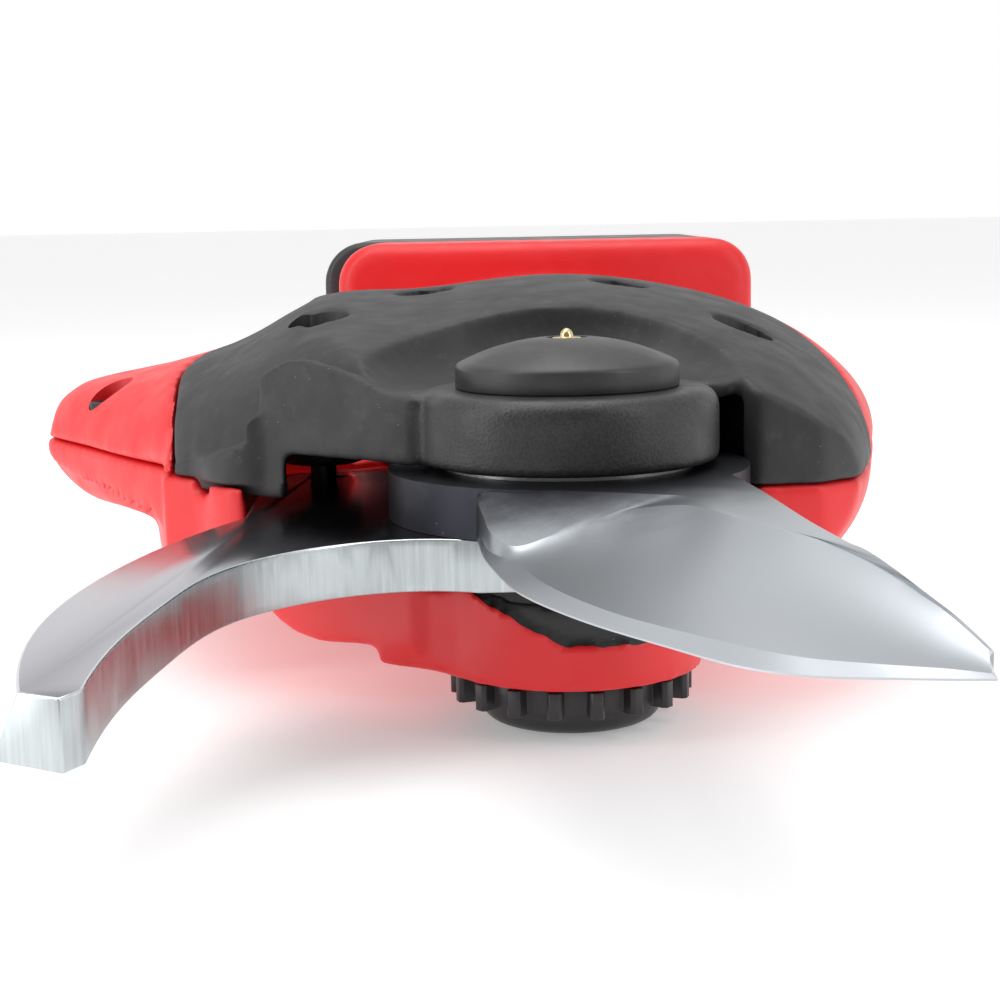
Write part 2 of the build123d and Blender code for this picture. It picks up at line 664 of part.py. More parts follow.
def motor_can():
    can = rod_y(MOTOR_R, *MOTOR_Y) - rod_y(12.6, MOTOR_Y[0] + 2.0, MOTOR_Y[1] - 2.0)
    can -= rod_y(MOTOR_SHAFT_R + RUN_FIT, 50, 110)
    for k in range(6):
        a = radians(60 * k + 30)
        can -= rod_y(1.6, 96, 99, 8.5 * cos(a), DRIVE_Z + 8.5 * sin(a))
    for x in MOTOR_SCREW_X:
        can -= rod_y(1.25, 50, 58.4, x)
    return can


def motor_stator():
    """Laminated stack with six wound poles, between the can and the rotor."""
    stack = rod_y(12.55, *ROTOR_Y) - rod_y(11.2, 60, 95)
    for k in range(6):
        pole = box(9.4, 11.6, *ROTOR_Y, -1.6, 1.6)
        stack += Pos(0, 0, DRIVE_Z) * (Rot(0, 60 * k + 30, 0) * pole)
    return stack


def motor_plate():
    plate = rod_y(RING_R, 52.05, 56.45) - rod_y(6.0, 50, 60)
    for x in MOTOR_SCREW_X:
        plate -= rod_y(1.3, 50, 60, x)
        plate -= rod_y(2.3, 50, 53.8, x)
    return plate


def motor_screws():
    return [rod_y(2.2, 52.1, 53.8, x) + rod_y(1.2, 53.7, 58.3, x) for x in MOTOR_SCREW_X]


def gear_housing():
    """Cast housing that holds the pinion bearing and the ring gear, with lugs for the cover screws."""
    nose = rod_y(10.6, 25.2, 36.1)
    barrel = rod_y(RING_R + 2.0, 35.0, 56.0)
    lugs = box(-19.5, 13.0, 38.0, 46.5, 4.0, 15.1) & rod_y(21.5, 30, 60)
    feet = box(-11.0, 11.0, 38.0, 54.0, -14.4, -8.0)
    body = (nose + barrel + lugs + feet) & box(-30, 30, 20, 60, -20, 15.1)
    body -= rod_y(8.02, 26.0, 36.2)
    body -= rod_y(4.6, 20, 36.2)
    body -= rod_y(10.8, 36.1, 40)
    body -= rod_y(RING_R + 0.02, 36.1, 60)
    for x, y in COVER_SCREWS_HIGH:
        body -= rod_z(SHANK_R, 10.2 if x < 0 else 15.0, 20, x, y)
    return body


# ---------------------------------------------------------------- pivot


def pivot_bolt():
    """Shouldered bolt: head under the cap, plain shank through the hub, thread below for the knob."""
    head = rod_z(8.2, 9.95, 12.4) + rod_z(5.4, 12.3, 13.9)
    shank = rod_z(BOLT_R, -13.0, 10.0)
    thread = rod_z(BOLT_R - 0.8, -19.0, -12.9)
    grease_way = rod_z(1.0, -2.0, 15.0) + Pos(0, 0, 2.7) * (Rot(0, 90, 0) * Cylinder(0.7, 12))
    return head + shank + thread - grease_way


def pivot_bush():
    return tube_z(BUSH_R - 0.01, BOLT_R + RUN_FIT, 0.05, BLADE_T - 0.05)


def thrust_washers():
    return [tube_z(8.2, BOLT_R + RUN_FIT, 9.32, 9.92)]


def grease_nipple():
    body = rod_z(2.0, 13.95, CAP_TOP + 0.25) + Pos(0, 0, CAP_TOP + 0.2) * Sphere(0.95)
    return body - rod_z(0.45, 13, 17.5)


def pivot_cap():
    """Domed round cover over the bolt's head, with a hole for the grease nipple."""
    dome = make_face(
        [
            Polyline((0, 0, 12.72), (CAP_R, 0, 12.72), (CAP_R, 0, CAP_RIM - 0.3), (CAP_R - 0.3, 0, CAP_RIM)),
            ThreePointArc((CAP_R - 0.3, 0, CAP_RIM), (6.0, 0, 16.95), (0, 0, CAP_TOP)),
            Line((0, 0, CAP_TOP), (0, 0, 12.72)),
        ]
    )
    cap = revolve(dome, Axis.Z)
    return cap - rod_z(9.0, 10, 14.0) - rod_z(2.05, 10, 20)


def blade_seat():
    """Black ring that the hook's hub rests on, inside the collar."""
    return tube_z(SEAT_R, BOLT_R + 0.2, SEAT_BOTTOM + 0.02, -HOOK_T - 0.02)


def spring_washer():
    points = [(5.3, -15.4), (8.2, -14.4), (8.2, -13.75), (5.3, -14.75)]
    return spin_profile(points)


def tension_knob():
    """Adjusting nut with a toothed rim, threaded on the pivot bolt."""
    crown = rod_z(KNOB_CROWN_R, REST_Z, KNOB_TOP)
    crown = fillet(crown.edges().filter_by(GeomType.CIRCLE).group_by(Axis.Z)[0], 1.9)
    rim = rod_z(KNOB_RIM_R - 1.5, -18.0, KNOB_TOP)
    knob = crown + rim
    for k in range(KNOB_FINS):
        fin = prism(
            [(9.5, -0.75), (KNOB_RIM_R - 0.4, -0.75), (KNOB_RIM_R, -0.45), (KNOB_RIM_R, 0.45),
             (KNOB_RIM_R - 0.4, 0.75), (9.5, 0.75)], -18.2, KNOB_TOP,
        )
        knob += Rot(0, 0, 360 / KNOB_FINS * k) * fin
    return knob - rod_z(BOLT_R - 0.8 + RUN_FIT, -19.2, -10)


def screw(x, y, seat, tip):
    """Pan-head screw whose head rests at height seat."""
    head = rod_z(HEAD_R, seat + 0.02, seat + 2.0, x, y)
    slot = Pos(x, y, seat + 2.0) * (Box(3.2, 0.7, 1.8) + Box(0.7, 3.2, 1.8))
    return head - slot + rod_z(SHANK_R - 0.02, tip, seat + 0.1, x, y)


def cover_screws():
    low = [screw(x, y, 8.5, -12.5) for x, y in COVER_SCREWS_LOW]
    high = [screw(x, y, 17.0, 10.4 if x < 0 else 15.1) for x, y in COVER_SCREWS_HIGH]
    return low + high


def housing_screws():
    return [screw(*spot) for spot in HOUSING_SCREWS]


# ---------------------------------------------------------------- controls


def trigger():
    """Curved finger trigger in the handle's left side, hinged at its front end."""
    front = Spline((-19.5, 75.0), (-26.0, 82.0), (-27.5, 91.0), (-29.5, 101.0), (-26.0, 105.4))
    back = Polyline((-26.0, 105.4), (-19.0, 105.6), (-18.4, 98), (-15.6, 82), (-15.2, 75.6), (-19.5, 75.0))
    body = Pos(0, 0, TRIGGER_Z[0]) * extrude(make_face([front, back]), TRIGGER_Z[1] - TRIGGER_Z[0])
    return body - rod_z(TRIGGER_PIN_R + RUN_FIT, -10, 20, *TRIGGER_PIN)


def trigger_pin():
    return rod_z(TRIGGER_PIN_R - 0.02, -7.9, 13.5, *TRIGGER_PIN)


def trigger_switch():
    """Small switch that the trigger's rear end presses."""
    return box(-14.6, -7.0, 99.6, 109.0, -3.0, 5.0)


def trigger_spring():
    """Torsion coil beside the pin, over the trigger."""
    path = Helix(pitch=0.62, height=2.4, radius=2.4)
    coil = sweep(Plane(origin=path @ 0, z_dir=path % 0) * Circle(0.25), path=path)
    return Pos(*TRIGGER_PIN, TRIGGER_Z[1] + 0.55) * coil


def power_button():
    return Pos(*POWER_BUTTON, 13.6) * extrude(RectangleRounded(POWER_SIZE, POWER_SIZE, 2.2), 5.2)


def indicator_lens():
    return rod_z(LENS_R, 14.0, 17.9, *LENS)


def control_board():
    board = box(-14.0, 18.0, 112.0, 140.0, -6.0, -4.4)
    parts = board + box(-10, -2, 114, 122, -4.5, -1.0) + box(4, 14, 114, 126, -4.5, -0.8)
    parts += rod_z(3.2, -4.5, 7.0, 12.0, 133.0) + rod_z(3.2, -4.5, 7.0, 4.0, 133.0)
    return parts + box(-12, -3, 128, 136, -4.5, 2.0)


def contact_block():
    """Terminal block in the foot, with blades that plug into the battery."""
    block = box(-16, 16, 145.0, 149.4, -8, 10)
    for x in TERMINAL_X:
        block += box(x - 0.4, x + 0.4, 149.3, 158.0, -5, 6)
    return block


# ---------------------------------------------------------------- battery


def battery_shape(inset, y0, y1):
    return rounded_box(
        BATTERY_X[0] + inset, BATTERY_X[1] - inset, y0, y1, BATTERY_Z[0] + inset, BATTERY_Z[1] - inset,
        7.5 - inset,
    )


def battery_case():
    """Battery box, open at the rear for its end cover, with a socket block that enters the foot."""
    case = battery_shape(0, BATTERY_Y[0], CASE_END)
    case = fillet(case.faces().sort_by(Axis.Y)[0].edges(), 1.2)
    case -= battery_shape(CASE_WALL, BATTERY_Y[0] + CASE_WALL, 210)
    socket = rounded_box(-19, 19, 150.6, BATTERY_Y[0] + 1, -11, 13, 2.5)
    socket -= box(-14.0, 14.0, 149, 161, -7.0, 8.0)
    case += socket
    right = BATTERY_X[1]
    return case - box(
        right - 3, right + 1, LATCH_Y[0] - 0.2, LATCH_Y[1] + 0.2, LATCH_Z[0] - 0.2, LATCH_Z[1] + 0.2
    )


def battery_cover():
    cover = battery_shape(0, CASE_END + 0.1, BATTERY_Y[1])
    cover = fillet(cover.faces().sort_by(Axis.Y)[-1].edges(), 3.0)
    return cover - battery_shape(CASE_WALL, CASE_END - 1, BATTERY_Y[1] - 2.2)


def battery_cells():
    cells = []
    for y in CELL_Y:
        for z in CELL_Z:
            can = Pos(-CELL_L / 2, y, z) * (Rot(0, 90, 0) * extrude(Circle(CELL_R), CELL_L))
            tip = Pos(CELL_L / 2 - 0.1, y, z) * (Rot(0, 90, 0) * extrude(Circle(3.0), 1.1))
            cells.append(can + tip)
    return cells


def battery_terminals():
    clips = []
    for x in TERMINAL_X:
        for side in (-1, 1):
            clips.append(box(x + side * 0.9 - 0.25, x + side * 0.9 + 0.25, 152.0, 160.95, -5, 6))
    return clips


def battery_latch():
    pad = rounded_box(35.5, BATTERY_X[1], *LATCH_Y, *LATCH_Z, 1.0)
    for y in (176.0, 179.0, 182.0):
        pad += box(37.9, 38.4, y - 0.6, y + 0.6, -4, 8)
    return pad - box(35, 36.2, 175, 183, -4, 8)


def main():
    os.makedirs("parts", exist_ok=True)
    whole = upper_whole()
    save("head_cover", head_cover(whole))
    save("upper_shell", upper_shell(whole))
    save("lower_shell", lower_shell())
    save("grip_pad_upper", grip_pad(True))
    save("grip_pad_lower", grip_pad(False))
    save("cutting_blade", cutting_blade())
    save("counter_blade", counter_blade())
    save("drive_sector", drive_sector())
    save("sector_pins", *sector_pins())
    save("bevel_pinion", bevel_pinion())
    save("pinion_bearing", *pinion_bearing())
    save("gear_housing", gear_housing())
    save("ring_gear", ring_gear())
    save("planet_carrier", planet_carrier())
    for k in range(3):
        save(f"planet_gear_{k + 1}", planet_gear(k))
    save("motor_rotor", motor_rotor())
    save("motor_can", motor_can())
    save("motor_stator", motor_stator())
    save("motor_plate", motor_plate())
    save("motor_screws", *motor_screws())
    save("pivot_bolt", pivot_bolt())
    save("pivot_bush", pivot_bush())
    save("thrust_washer", *thrust_washers())
    save("grease_nipple", grease_nipple())
    save("pivot_cap", pivot_cap())
    save("blade_seat", blade_seat())
    save("spring_washer", spring_washer())
    save("tension_knob", tension_knob())
    save("cover_screws", *cover_screws())
    save("housing_screws", *housing_screws())
    save("trigger", trigger())
    save("trigger_pin", trigger_pin())
    save("trigger_spring", trigger_spring())
    save("trigger_switch", trigger_switch())
    save("power_button", power_button())
    save("indicator_lens", indicator_lens())
    save("control_board", control_board())
    save("contact_block", contact_block())
    save("battery_case", battery_case())
    save("battery_cover", battery_cover())
    save("battery_cells", *battery_cells())
    save("battery_terminals", *battery_terminals())
    save("battery_latch", battery_latch())


main()
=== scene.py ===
"""Looks of the cordless bypass pruner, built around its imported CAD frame.

Lengths inside the helpers are in millimetres from the blade's pivot, with z = 0 on the plane where
the blade slides on the hook. at() turns them into the frame's metres.
"""

import json
from math import cos, pi, radians, sin

import bmesh
import bpy
import numpy as np
from mathutils import Matrix, Vector


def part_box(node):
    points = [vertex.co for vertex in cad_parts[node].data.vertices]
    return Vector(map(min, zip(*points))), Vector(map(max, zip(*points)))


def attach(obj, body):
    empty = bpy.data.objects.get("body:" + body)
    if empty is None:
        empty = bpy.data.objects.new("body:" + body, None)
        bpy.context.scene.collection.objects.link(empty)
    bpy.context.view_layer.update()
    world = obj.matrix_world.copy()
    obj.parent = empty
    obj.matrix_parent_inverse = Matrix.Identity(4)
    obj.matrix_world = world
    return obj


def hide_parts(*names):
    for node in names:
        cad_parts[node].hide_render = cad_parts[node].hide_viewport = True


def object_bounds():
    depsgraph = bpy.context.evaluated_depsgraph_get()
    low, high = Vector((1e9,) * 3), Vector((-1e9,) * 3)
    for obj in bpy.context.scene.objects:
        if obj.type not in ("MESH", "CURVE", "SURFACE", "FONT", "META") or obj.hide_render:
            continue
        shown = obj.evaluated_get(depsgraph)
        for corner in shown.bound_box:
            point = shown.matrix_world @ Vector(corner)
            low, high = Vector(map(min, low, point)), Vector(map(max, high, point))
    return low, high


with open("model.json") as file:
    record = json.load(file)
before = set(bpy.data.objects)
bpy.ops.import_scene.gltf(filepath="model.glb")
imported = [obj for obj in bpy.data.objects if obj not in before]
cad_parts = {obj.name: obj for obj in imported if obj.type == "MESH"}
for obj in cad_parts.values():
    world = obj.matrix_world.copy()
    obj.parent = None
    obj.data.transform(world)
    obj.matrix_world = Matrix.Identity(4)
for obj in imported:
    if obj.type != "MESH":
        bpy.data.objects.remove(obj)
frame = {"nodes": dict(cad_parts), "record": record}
CAD_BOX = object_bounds()

MM = 0.001
BOLT_LOW, BOLT_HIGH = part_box("pivot_bolt")
HOOK_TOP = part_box("counter_blade")[1][2]
PIVOT = Vector(((BOLT_LOW[0] + BOLT_HIGH[0]) / 2, (BOLT_LOW[1] + BOLT_HIGH[1]) / 2, HOOK_TOP))
BLADE_T = (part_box("cutting_blade")[1][2] - HOOK_TOP) / MM
# The blade's hub in front and behind, and the bush in it.
HUB_R = 18.0
HUB_BACK_R = 15.4
BUSH_R = 6.5
FLOOR_Z = CAD_BOX[0][2]

BODY_OF = {node: body for body, nodes in frame["record"]["behaviour"]["bodies"].items() for node in nodes}
SLOT_OF = {row["node"]: row["material_slot"] for row in frame["record"]["subparts"]}


def at(x, y, z):
    """A point in millimetres from the pivot, as metres in the frame."""
    return PIVOT + Vector((x, y, z)) * MM


# ---------------------------------------------------------------- materials


class Shader:
    """A Principled material with short calls for the procedural detail that feeds it."""

    def __init__(self, name, color, rough, metallic=0.0):
        self.material = bpy.data.materials.new(name)
        self.material.use_nodes = True
        self.tree = self.material.node_tree
        self.bsdf = self.tree.nodes["Principled BSDF"]
        self.set("Base Color", (*color, 1))
        self.set("Roughness", rough)
        self.set("Metallic", metallic)
        coords = self.node("ShaderNodeTexCoord")
        self.mm = self.scaled(coords.outputs["Object"], (1000, 1000, 1000))

    def set(self, socket, value):
        self.bsdf.inputs[socket].default_value = value

    def node(self, kind, **values):
        made = self.tree.nodes.new(kind)
        for key, value in values.items():
            setattr(made, key, value)
        return made

    def link(self, a, b):
        self.tree.links.new(a, b)

    def scaled(self, vector, scale, location=(0, 0, 0)):
        mapping = self.node("ShaderNodeMapping")
        mapping.inputs["Scale"].default_value = scale
        mapping.inputs["Location"].default_value = location
        self.link(vector, mapping.inputs["Vector"])
        return mapping.outputs["Vector"]

    def noise(self, per_mm, detail=3.0, rough=0.55, stretch=None):
        texture = self.node("ShaderNodeTexNoise")
        texture.inputs["Scale"].default_value = per_mm
        texture.inputs["Detail"].default_value = detail
        texture.inputs["Roughness"].default_value = rough
        self.link(self.scaled(self.mm, stretch) if stretch else self.mm, texture.inputs["Vector"])
        return texture.outputs["Fac"]

    def cells(self, per_mm):
        texture = self.node("ShaderNodeTexVoronoi")
        texture.inputs["Scale"].default_value = per_mm
        self.link(self.mm, texture.inputs["Vector"])
        return texture.outputs["Distance"]

    def ramp(self, source, low, high, a=0.0, b=1.0):
        mapped = self.node("ShaderNodeMapRange")
        mapped.interpolation_type = "SMOOTHSTEP"
        mapped.inputs["From Min"].default_value = low
        mapped.inputs["From Max"].default_value = high
        mapped.inputs["To Min"].default_value = a
        mapped.inputs["To Max"].default_value = b
        self.link(source, mapped.inputs["Value"])
        return mapped.outputs["Result"]

    def math(self, operation, a, b):
        made = self.node("ShaderNodeMath", operation=operation)
        for socket, value in zip(made.inputs, (a, b)):
            if isinstance(value, (int, float)):
                socket.default_value = value
            else:
                self.link(value, socket)
        return made.outputs["Value"]

    def mix(self, factor, a, b):
        made = self.node("ShaderNodeMix", data_type="RGBA")
        self.link(factor, made.inputs["Factor"])
        for socket, value in ((made.inputs["A"], a), (made.inputs["B"], b)):
            if isinstance(value, tuple):
                socket.default_value = (*value, 1)
            else:
                self.link(value, socket)
        return made.outputs["Result"]

    def color(self, output):
        self.link(output, self.bsdf.inputs["Base Color"])

    def rough(self, output):
        self.link(output, self.bsdf.inputs["Roughness"])

    def bump(self, height, strength, depth_mm):
        """Adds a bump of this depth, on top of any made before it."""
        made = self.node("ShaderNodeBump")
        made.inputs["Strength"].default_value = strength
        made.inputs["Distance"].default_value = depth_mm * MM
        self.link(height, made.inputs["Height"])
        before = self.bsdf.inputs["Normal"].links
        if before:
            self.link(before[0].from_socket, made.inputs["Normal"])
        self.link(made.outputs["Normal"], self.bsdf.inputs["Normal"])

    def radius(self):
        """Distance from the pivot's axis, in millimetres."""
        moved = self.scaled(self.mm, (1, 1, 0), (-PIVOT.x / MM, -PIVOT.y / MM, 0))
        length = self.node("ShaderNodeVectorMath", operation="LENGTH")
        self.link(moved, length.inputs[0])
        return length.outputs["Value"]


def moulded(name, color, shade, rough, grain_mm, grain_depth, dust=0.0):
    """Moulded plastic: fine grain, faint flow marks, uneven sheen and, on dark parts, dust."""
    s = Shader(name, color, rough)
    flow = s.noise(0.05, 4.0, 0.6)
    tone = s.mix(s.ramp(flow, 0.3, 0.7), color, shade)
    if dust:
        specks = s.ramp(s.cells(1.1), 0.075, 0.03)
        patches = s.ramp(s.noise(0.16, 2.0), 0.45, 0.62)
        film = s.ramp(s.noise(0.5, 6.0, 0.7), 0.48, 0.9, 0.0, dust)
        tone = s.mix(film, tone, (0.32, 0.31, 0.30))
        tone = s.mix(s.math("MULTIPLY", specks, s.math("MULTIPLY", patches, 0.55)), tone, (0.5, 0.49, 0.47))
    s.color(tone)
    s.rough(s.ramp(s.noise(0.22, 4.0), 0.25, 0.75, rough - 0.07, rough + 0.08))
    s.bump(s.noise(1 / grain_mm, 2.0, 0.6), 0.55, grain_depth)
    s.bump(s.noise(0.12, 2.0), 0.15, 0.12)
    return s.material


def leathered(name):
    """The boss's skin: a wrinkled fine leather grain over glossy black."""
    s = Shader(name, (0.018, 0.017, 0.017), 0.38)
    fine = s.cells(3.4)
    s.color(s.mix(s.ramp(fine, 0.1, 0.7), (0.014, 0.0135, 0.0135), (0.028, 0.027, 0.026)))
    s.rough(s.ramp(s.noise(0.3, 4.0), 0.3, 0.7, 0.36, 0.50))
    s.bump(fine, 0.45, 0.05)
    s.bump(s.noise(3.8, 3.0, 0.6), 0.4, 0.03)
    return s.material


def ground_steel(name, tint, rough, lines, lines_across, contrast=0.08, pits=0.0, anisotropic=0.0):
    """Ground tool steel: directional grinding lines, faint clouds and, where asked, fine pits."""
    s = Shader(name, tint, rough, metallic=1.0)
    grind = s.noise(lines, 3.0, 0.65, lines_across)
    cloud = s.noise(0.08, 3.0, 0.55)
    tone = s.mix(s.ramp(cloud, 0.3, 0.7), tint, tuple(c * (1 - contrast) for c in tint))
    tone = s.mix(s.ramp(grind, 0.35, 0.75), tone, tuple(min(1, c * (1 + contrast)) for c in tint))
    if pits:
        marks = s.math("MULTIPLY", s.ramp(s.noise(2.4, 5.0, 0.75), 0.60, 0.70), pits)
        tone = s.mix(marks, tone, tuple(c * 0.55 for c in tint))
    s.color(tone)
    s.rough(s.ramp(grind, 0.3, 0.7, rough - 0.03, rough + 0.04))
    s.bump(grind, 0.18, 0.006)
    s.set("Anisotropic", anisotropic)
    return s.material


def blackened_steel(name, fade_from, fade_to, bright_tint=(0.52, 0.55, 0.58), rough=0.34):
    """Black round the hub, fading to bright steel further out: on the blade black scale rubbed through, on
    the hook a painted reflection of the black housing.
    """
    s = Shader(name, (0.1, 0.1, 0.1), rough, metallic=1.0)
    ragged = s.math("ADD", s.radius(), s.math("MULTIPLY", s.noise(0.25, 5.0, 0.65), 6.0))
    away_from_hub = s.ramp(ragged, fade_from + 3.0, fade_to + 3.0)
    dust = s.ramp(s.cells(1.3), 0.10, 0.04)
    thin = s.math("MULTIPLY", dust, s.ramp(s.noise(0.22, 3.0), 0.46, 0.6))
    bright = s.math("MAXIMUM", away_from_hub, s.math("MULTIPLY", thin, 0.5))
    s.color(s.mix(bright, (0.045, 0.046, 0.056), bright_tint))
    s.rough(s.ramp(bright, 0, 1, rough + 0.08, rough))
    s.bump(s.noise(1.1, 4.0, 0.7), 0.10, 0.02)
    return s.material


def machined(name, tint, rough):
    """Turned or pressed metal with faint tool marks."""
    s = Shader(name, tint, rough, metallic=1.0)
    turning = s.noise(1.2, 3.0, 0.6, (0.3, 3.0, 3.0))
    s.color(s.mix(s.ramp(turning, 0.3, 0.7), tuple(c * 0.85 for c in tint), tint))
    s.rough(s.ramp(turning, 0.3, 0.7, rough - 0.05, rough + 0.1))
    s.bump(turning, 0.2, 0.02)
    return s.material


def cast(name, tint):
    """The dull grain of a casting."""
    s = Shader(name, tint, 0.55, metallic=1.0)
    grain = s.noise(2.2, 4.0, 0.7)
    s.color(s.mix(s.ramp(grain, 0.3, 0.7), tuple(c * 0.8 for c in tint), tint))
    s.rough(s.ramp(s.noise(0.4, 3.0), 0.3, 0.7, 0.48, 0.62))
    s.bump(grain, 0.5, 0.08)
    return s.material


def lacquered(name, color, shade, rough=0.3):
    """Smooth coloured film, slightly uneven."""
    s = Shader(name, color, rough)
    s.color(s.mix(s.ramp(s.noise(0.8, 4.0), 0.4, 0.6), color, shade))
    s.rough(s.ramp(s.noise(0.5, 3.0), 0.3, 0.7, rough - 0.05, rough + 0.1))
    s.bump(s.noise(0.8, 2.0), 0.15, 0.03)
    return s.material


RED = moulded("red_plastic", (0.80, 0.018, 0.022), (0.74, 0.014, 0.018), 0.42, 0.35, 0.018)
BLACK = moulded("black_plastic", (0.024, 0.024, 0.026), (0.019, 0.019, 0.021), 0.56, 0.22, 0.035, dust=0.10)
BOSS = leathered("boss_leather")
CAP = moulded("cap_plastic", (0.030, 0.030, 0.032), (0.024, 0.024, 0.026), 0.44, 0.3, 0.02, dust=0.05)
KNOB = moulded("knob_plastic", (0.020, 0.020, 0.022), (0.028, 0.028, 0.030), 0.36, 0.4, 0.02, dust=0.04)
RUBBER = moulded("grip_rubber", (0.030, 0.030, 0.032), (0.038, 0.038, 0.040), 0.68, 0.3, 0.05, dust=0.05)
BATTERY = moulded(
    "battery_plastic", (0.032, 0.034, 0.036), (0.026, 0.028, 0.030), 0.40, 0.3, 0.02, dust=0.03,
)
# Black rubber of the seat ring. The lower shell also uses it for the collar band's painted shadow and the
# mouth's painted shade.
SEAT_AND_SHADE = moulded("seat_rubber_and_painted_shade", (0.016, 0.016, 0.017), (0.024, 0.024, 0.025), 0.6, 0.3, 0.05, dust=0.03)
BEVEL = ground_steel("bevel_steel", (0.62, 0.66, 0.69), 0.27, 0.5, (1.0, 0.12, 1.0), 0.04, anisotropic=0.35)
MICRO = ground_steel("micro_bevel_steel", (0.80, 0.83, 0.85), 0.34, 1.2, (1.0, 1.0, 1.0), 0.04)
FACET = ground_steel("facet_steel", (0.58, 0.62, 0.65), 0.36, 1.4, (0.3, 1.6, 1.0), 0.05, 0.12)
HEEL = ground_steel("heel_steel", (0.52, 0.54, 0.57), 0.36, 1.0, (2.0, 2.0, 0.3), 0.12, 0.3)
HOOK = ground_steel("hook_steel", (0.50, 0.54, 0.55), 0.34, 1.5, (1.4, 1.4, 0.05), 0.13, 0.10)
# The hook's outer slope: a brighter steel that is a painted highlight of the lit lip.
HOOK_LIP_HIGHLIGHT = ground_steel("hook_lip_painted_highlight", (0.74, 0.77, 0.79), 0.24, 1.2, (1.0, 1.0, 1.0), 0.04)
# The hook's top: dark round the hub as a painted reflection of the black housing, fading out to steel.
HOOK_TOP_REFLECTION = blackened_steel("hook_top_painted_reflection", 24, 44, (0.42, 0.42, 0.46), 0.16)
BLADE_TOP = blackened_steel("blade_top_steel", 17.5, 33)
GEAR = machined("gear_steel", (0.42, 0.42, 0.43), 0.32)
ZINC = machined("zinc_steel", (0.58, 0.58, 0.60), 0.30)
BRASS = machined("brass", (0.78, 0.62, 0.34), 0.25)
COPPER = machined("copper", (0.72, 0.36, 0.20), 0.35)
ALUMINIUM = cast("cast_aluminium", (0.55, 0.56, 0.57))
OXIDE = machined("black_oxide", (0.05, 0.05, 0.055), 0.42)
BOARD = lacquered("board_lacquer", (0.02, 0.16, 0.06), (0.03, 0.22, 0.09))
WRAP = lacquered("cell_wrap", (0.05, 0.16, 0.34), (0.06, 0.20, 0.42))
LENS = lacquered("lens", (0.72, 0.86, 0.74), (0.80, 0.92, 0.82), 0.15)

FINISH = {
    "red_plastic": RED,
    "black_plastic": BLACK,
    "polished_steel": BEVEL,
    "gear_steel": GEAR,
    "cast_aluminium": ALUMINIUM,
    "brass": BRASS,
    "grip_rubber": RUBBER,
    "blackened_steel": OXIDE,
    "board_green": BOARD,
    "copper": COPPER,
    "zinc_steel": ZINC,
    "lens": LENS,
    "cell_wrap": WRAP,
    "knob_plastic": KNOB,
    "trigger_plastic": KNOB,
    "battery_plastic": BATTERY,
}

for node, item in frame["nodes"].items():
    item.data.materials.clear()
    item.data.materials.append(FINISH[SLOT_OF[node]])


# ---------------------------------------------------------------- pieces

# Points closer than this, in metres, are one point.
WELD = 2e-6
SMOOTH_FACTOR = 0.5
# Angles in degrees: faces this near to flat are merged, and sharper edges than the others are
# bevelled or shaded sharp.
FLAT_ANGLE = 0.6
BEVEL_ANGLE = 30.0
CRISP_SHARP = 32
BLADE_SHARP = 7
SHELL_SHARP = 48


def link_piece(name, mesh, node, materials=()):
    """Adds a piece that stands for one CAD node."""
    piece = bpy.data.objects.new(name, mesh)
    bpy.context.scene.collection.objects.link(piece)
    mesh.materials.clear()
    for material in materials or [FINISH[SLOT_OF[node]]]:
        mesh.materials.append(material)
    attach(piece, BODY_OF[node])
    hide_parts(node)
    return piece


def apply_modifiers(piece):
    """Gives the piece the mesh that its modifiers make."""
    depsgraph = bpy.context.evaluated_depsgraph_get()
    mesh = bpy.data.meshes.new_from_object(piece.evaluated_get(depsgraph))
    old = piece.data
    piece.modifiers.clear()
    piece.data = mesh
    bpy.data.meshes.remove(old)


def remeshed(mesh, voxel_mm, rounds):
    """The mesh rebuilt from voxels and then smoothed, which melts its sharp edges."""
    piece = bpy.data.objects.new("remesh_work", mesh)
    bpy.context.scene.collection.objects.link(piece)
    remesh = piece.modifiers.new("remesh", "REMESH")
    remesh.mode = "VOXEL"
    remesh.voxel_size = voxel_mm * MM
    if rounds:
        smooth = piece.modifiers.new("smooth", "SMOOTH")
        smooth.factor = SMOOTH_FACTOR
        smooth.iterations = rounds
    apply_modifiers(piece)
    done = piece.data
    bpy.data.objects.remove(piece)
    return done


def softened(node, name, voxel_mm, rounds, materials=()):
    """A copy of a CAD node with its edges melted together, as a moulding's are."""
    done = remeshed(frame["nodes"][node].data.copy(), voxel_mm, rounds)
    done.shade_smooth()
    return link_piece(name, done, node, materials)


def crisp(node, name, bevel_mm, materials=(), segments=2):
    """A copy of a CAD node with small real bevels on its sharp edges."""
    mesh = frame["nodes"][node].data.copy()
    work = bmesh.new()
    work.from_mesh(mesh)
    bmesh.ops.remove_doubles(work, verts=work.verts, dist=WELD)
    bmesh.ops.dissolve_limit(work, angle_limit=radians(FLAT_ANGLE), verts=work.verts, edges=work.edges)
    work.to_mesh(mesh)
    work.free()
    piece = bpy.data.objects.new(name + "_work", mesh)
    bpy.context.scene.collection.objects.link(piece)
    bevel = piece.modifiers.new("bevel", "BEVEL")
    bevel.width = bevel_mm * MM
    bevel.segments = segments
    bevel.limit_method = "ANGLE"
    bevel.angle_limit = radians(BEVEL_ANGLE)
    bevel.use_clamp_overlap = True
    apply_modifiers(piece)
    done = piece.data
    bpy.data.objects.remove(piece)
    done.shade_smooth()
    done.set_sharp_from_angle(angle=radians(CRISP_SHARP))
    return link_piece(name, done, node, materials)


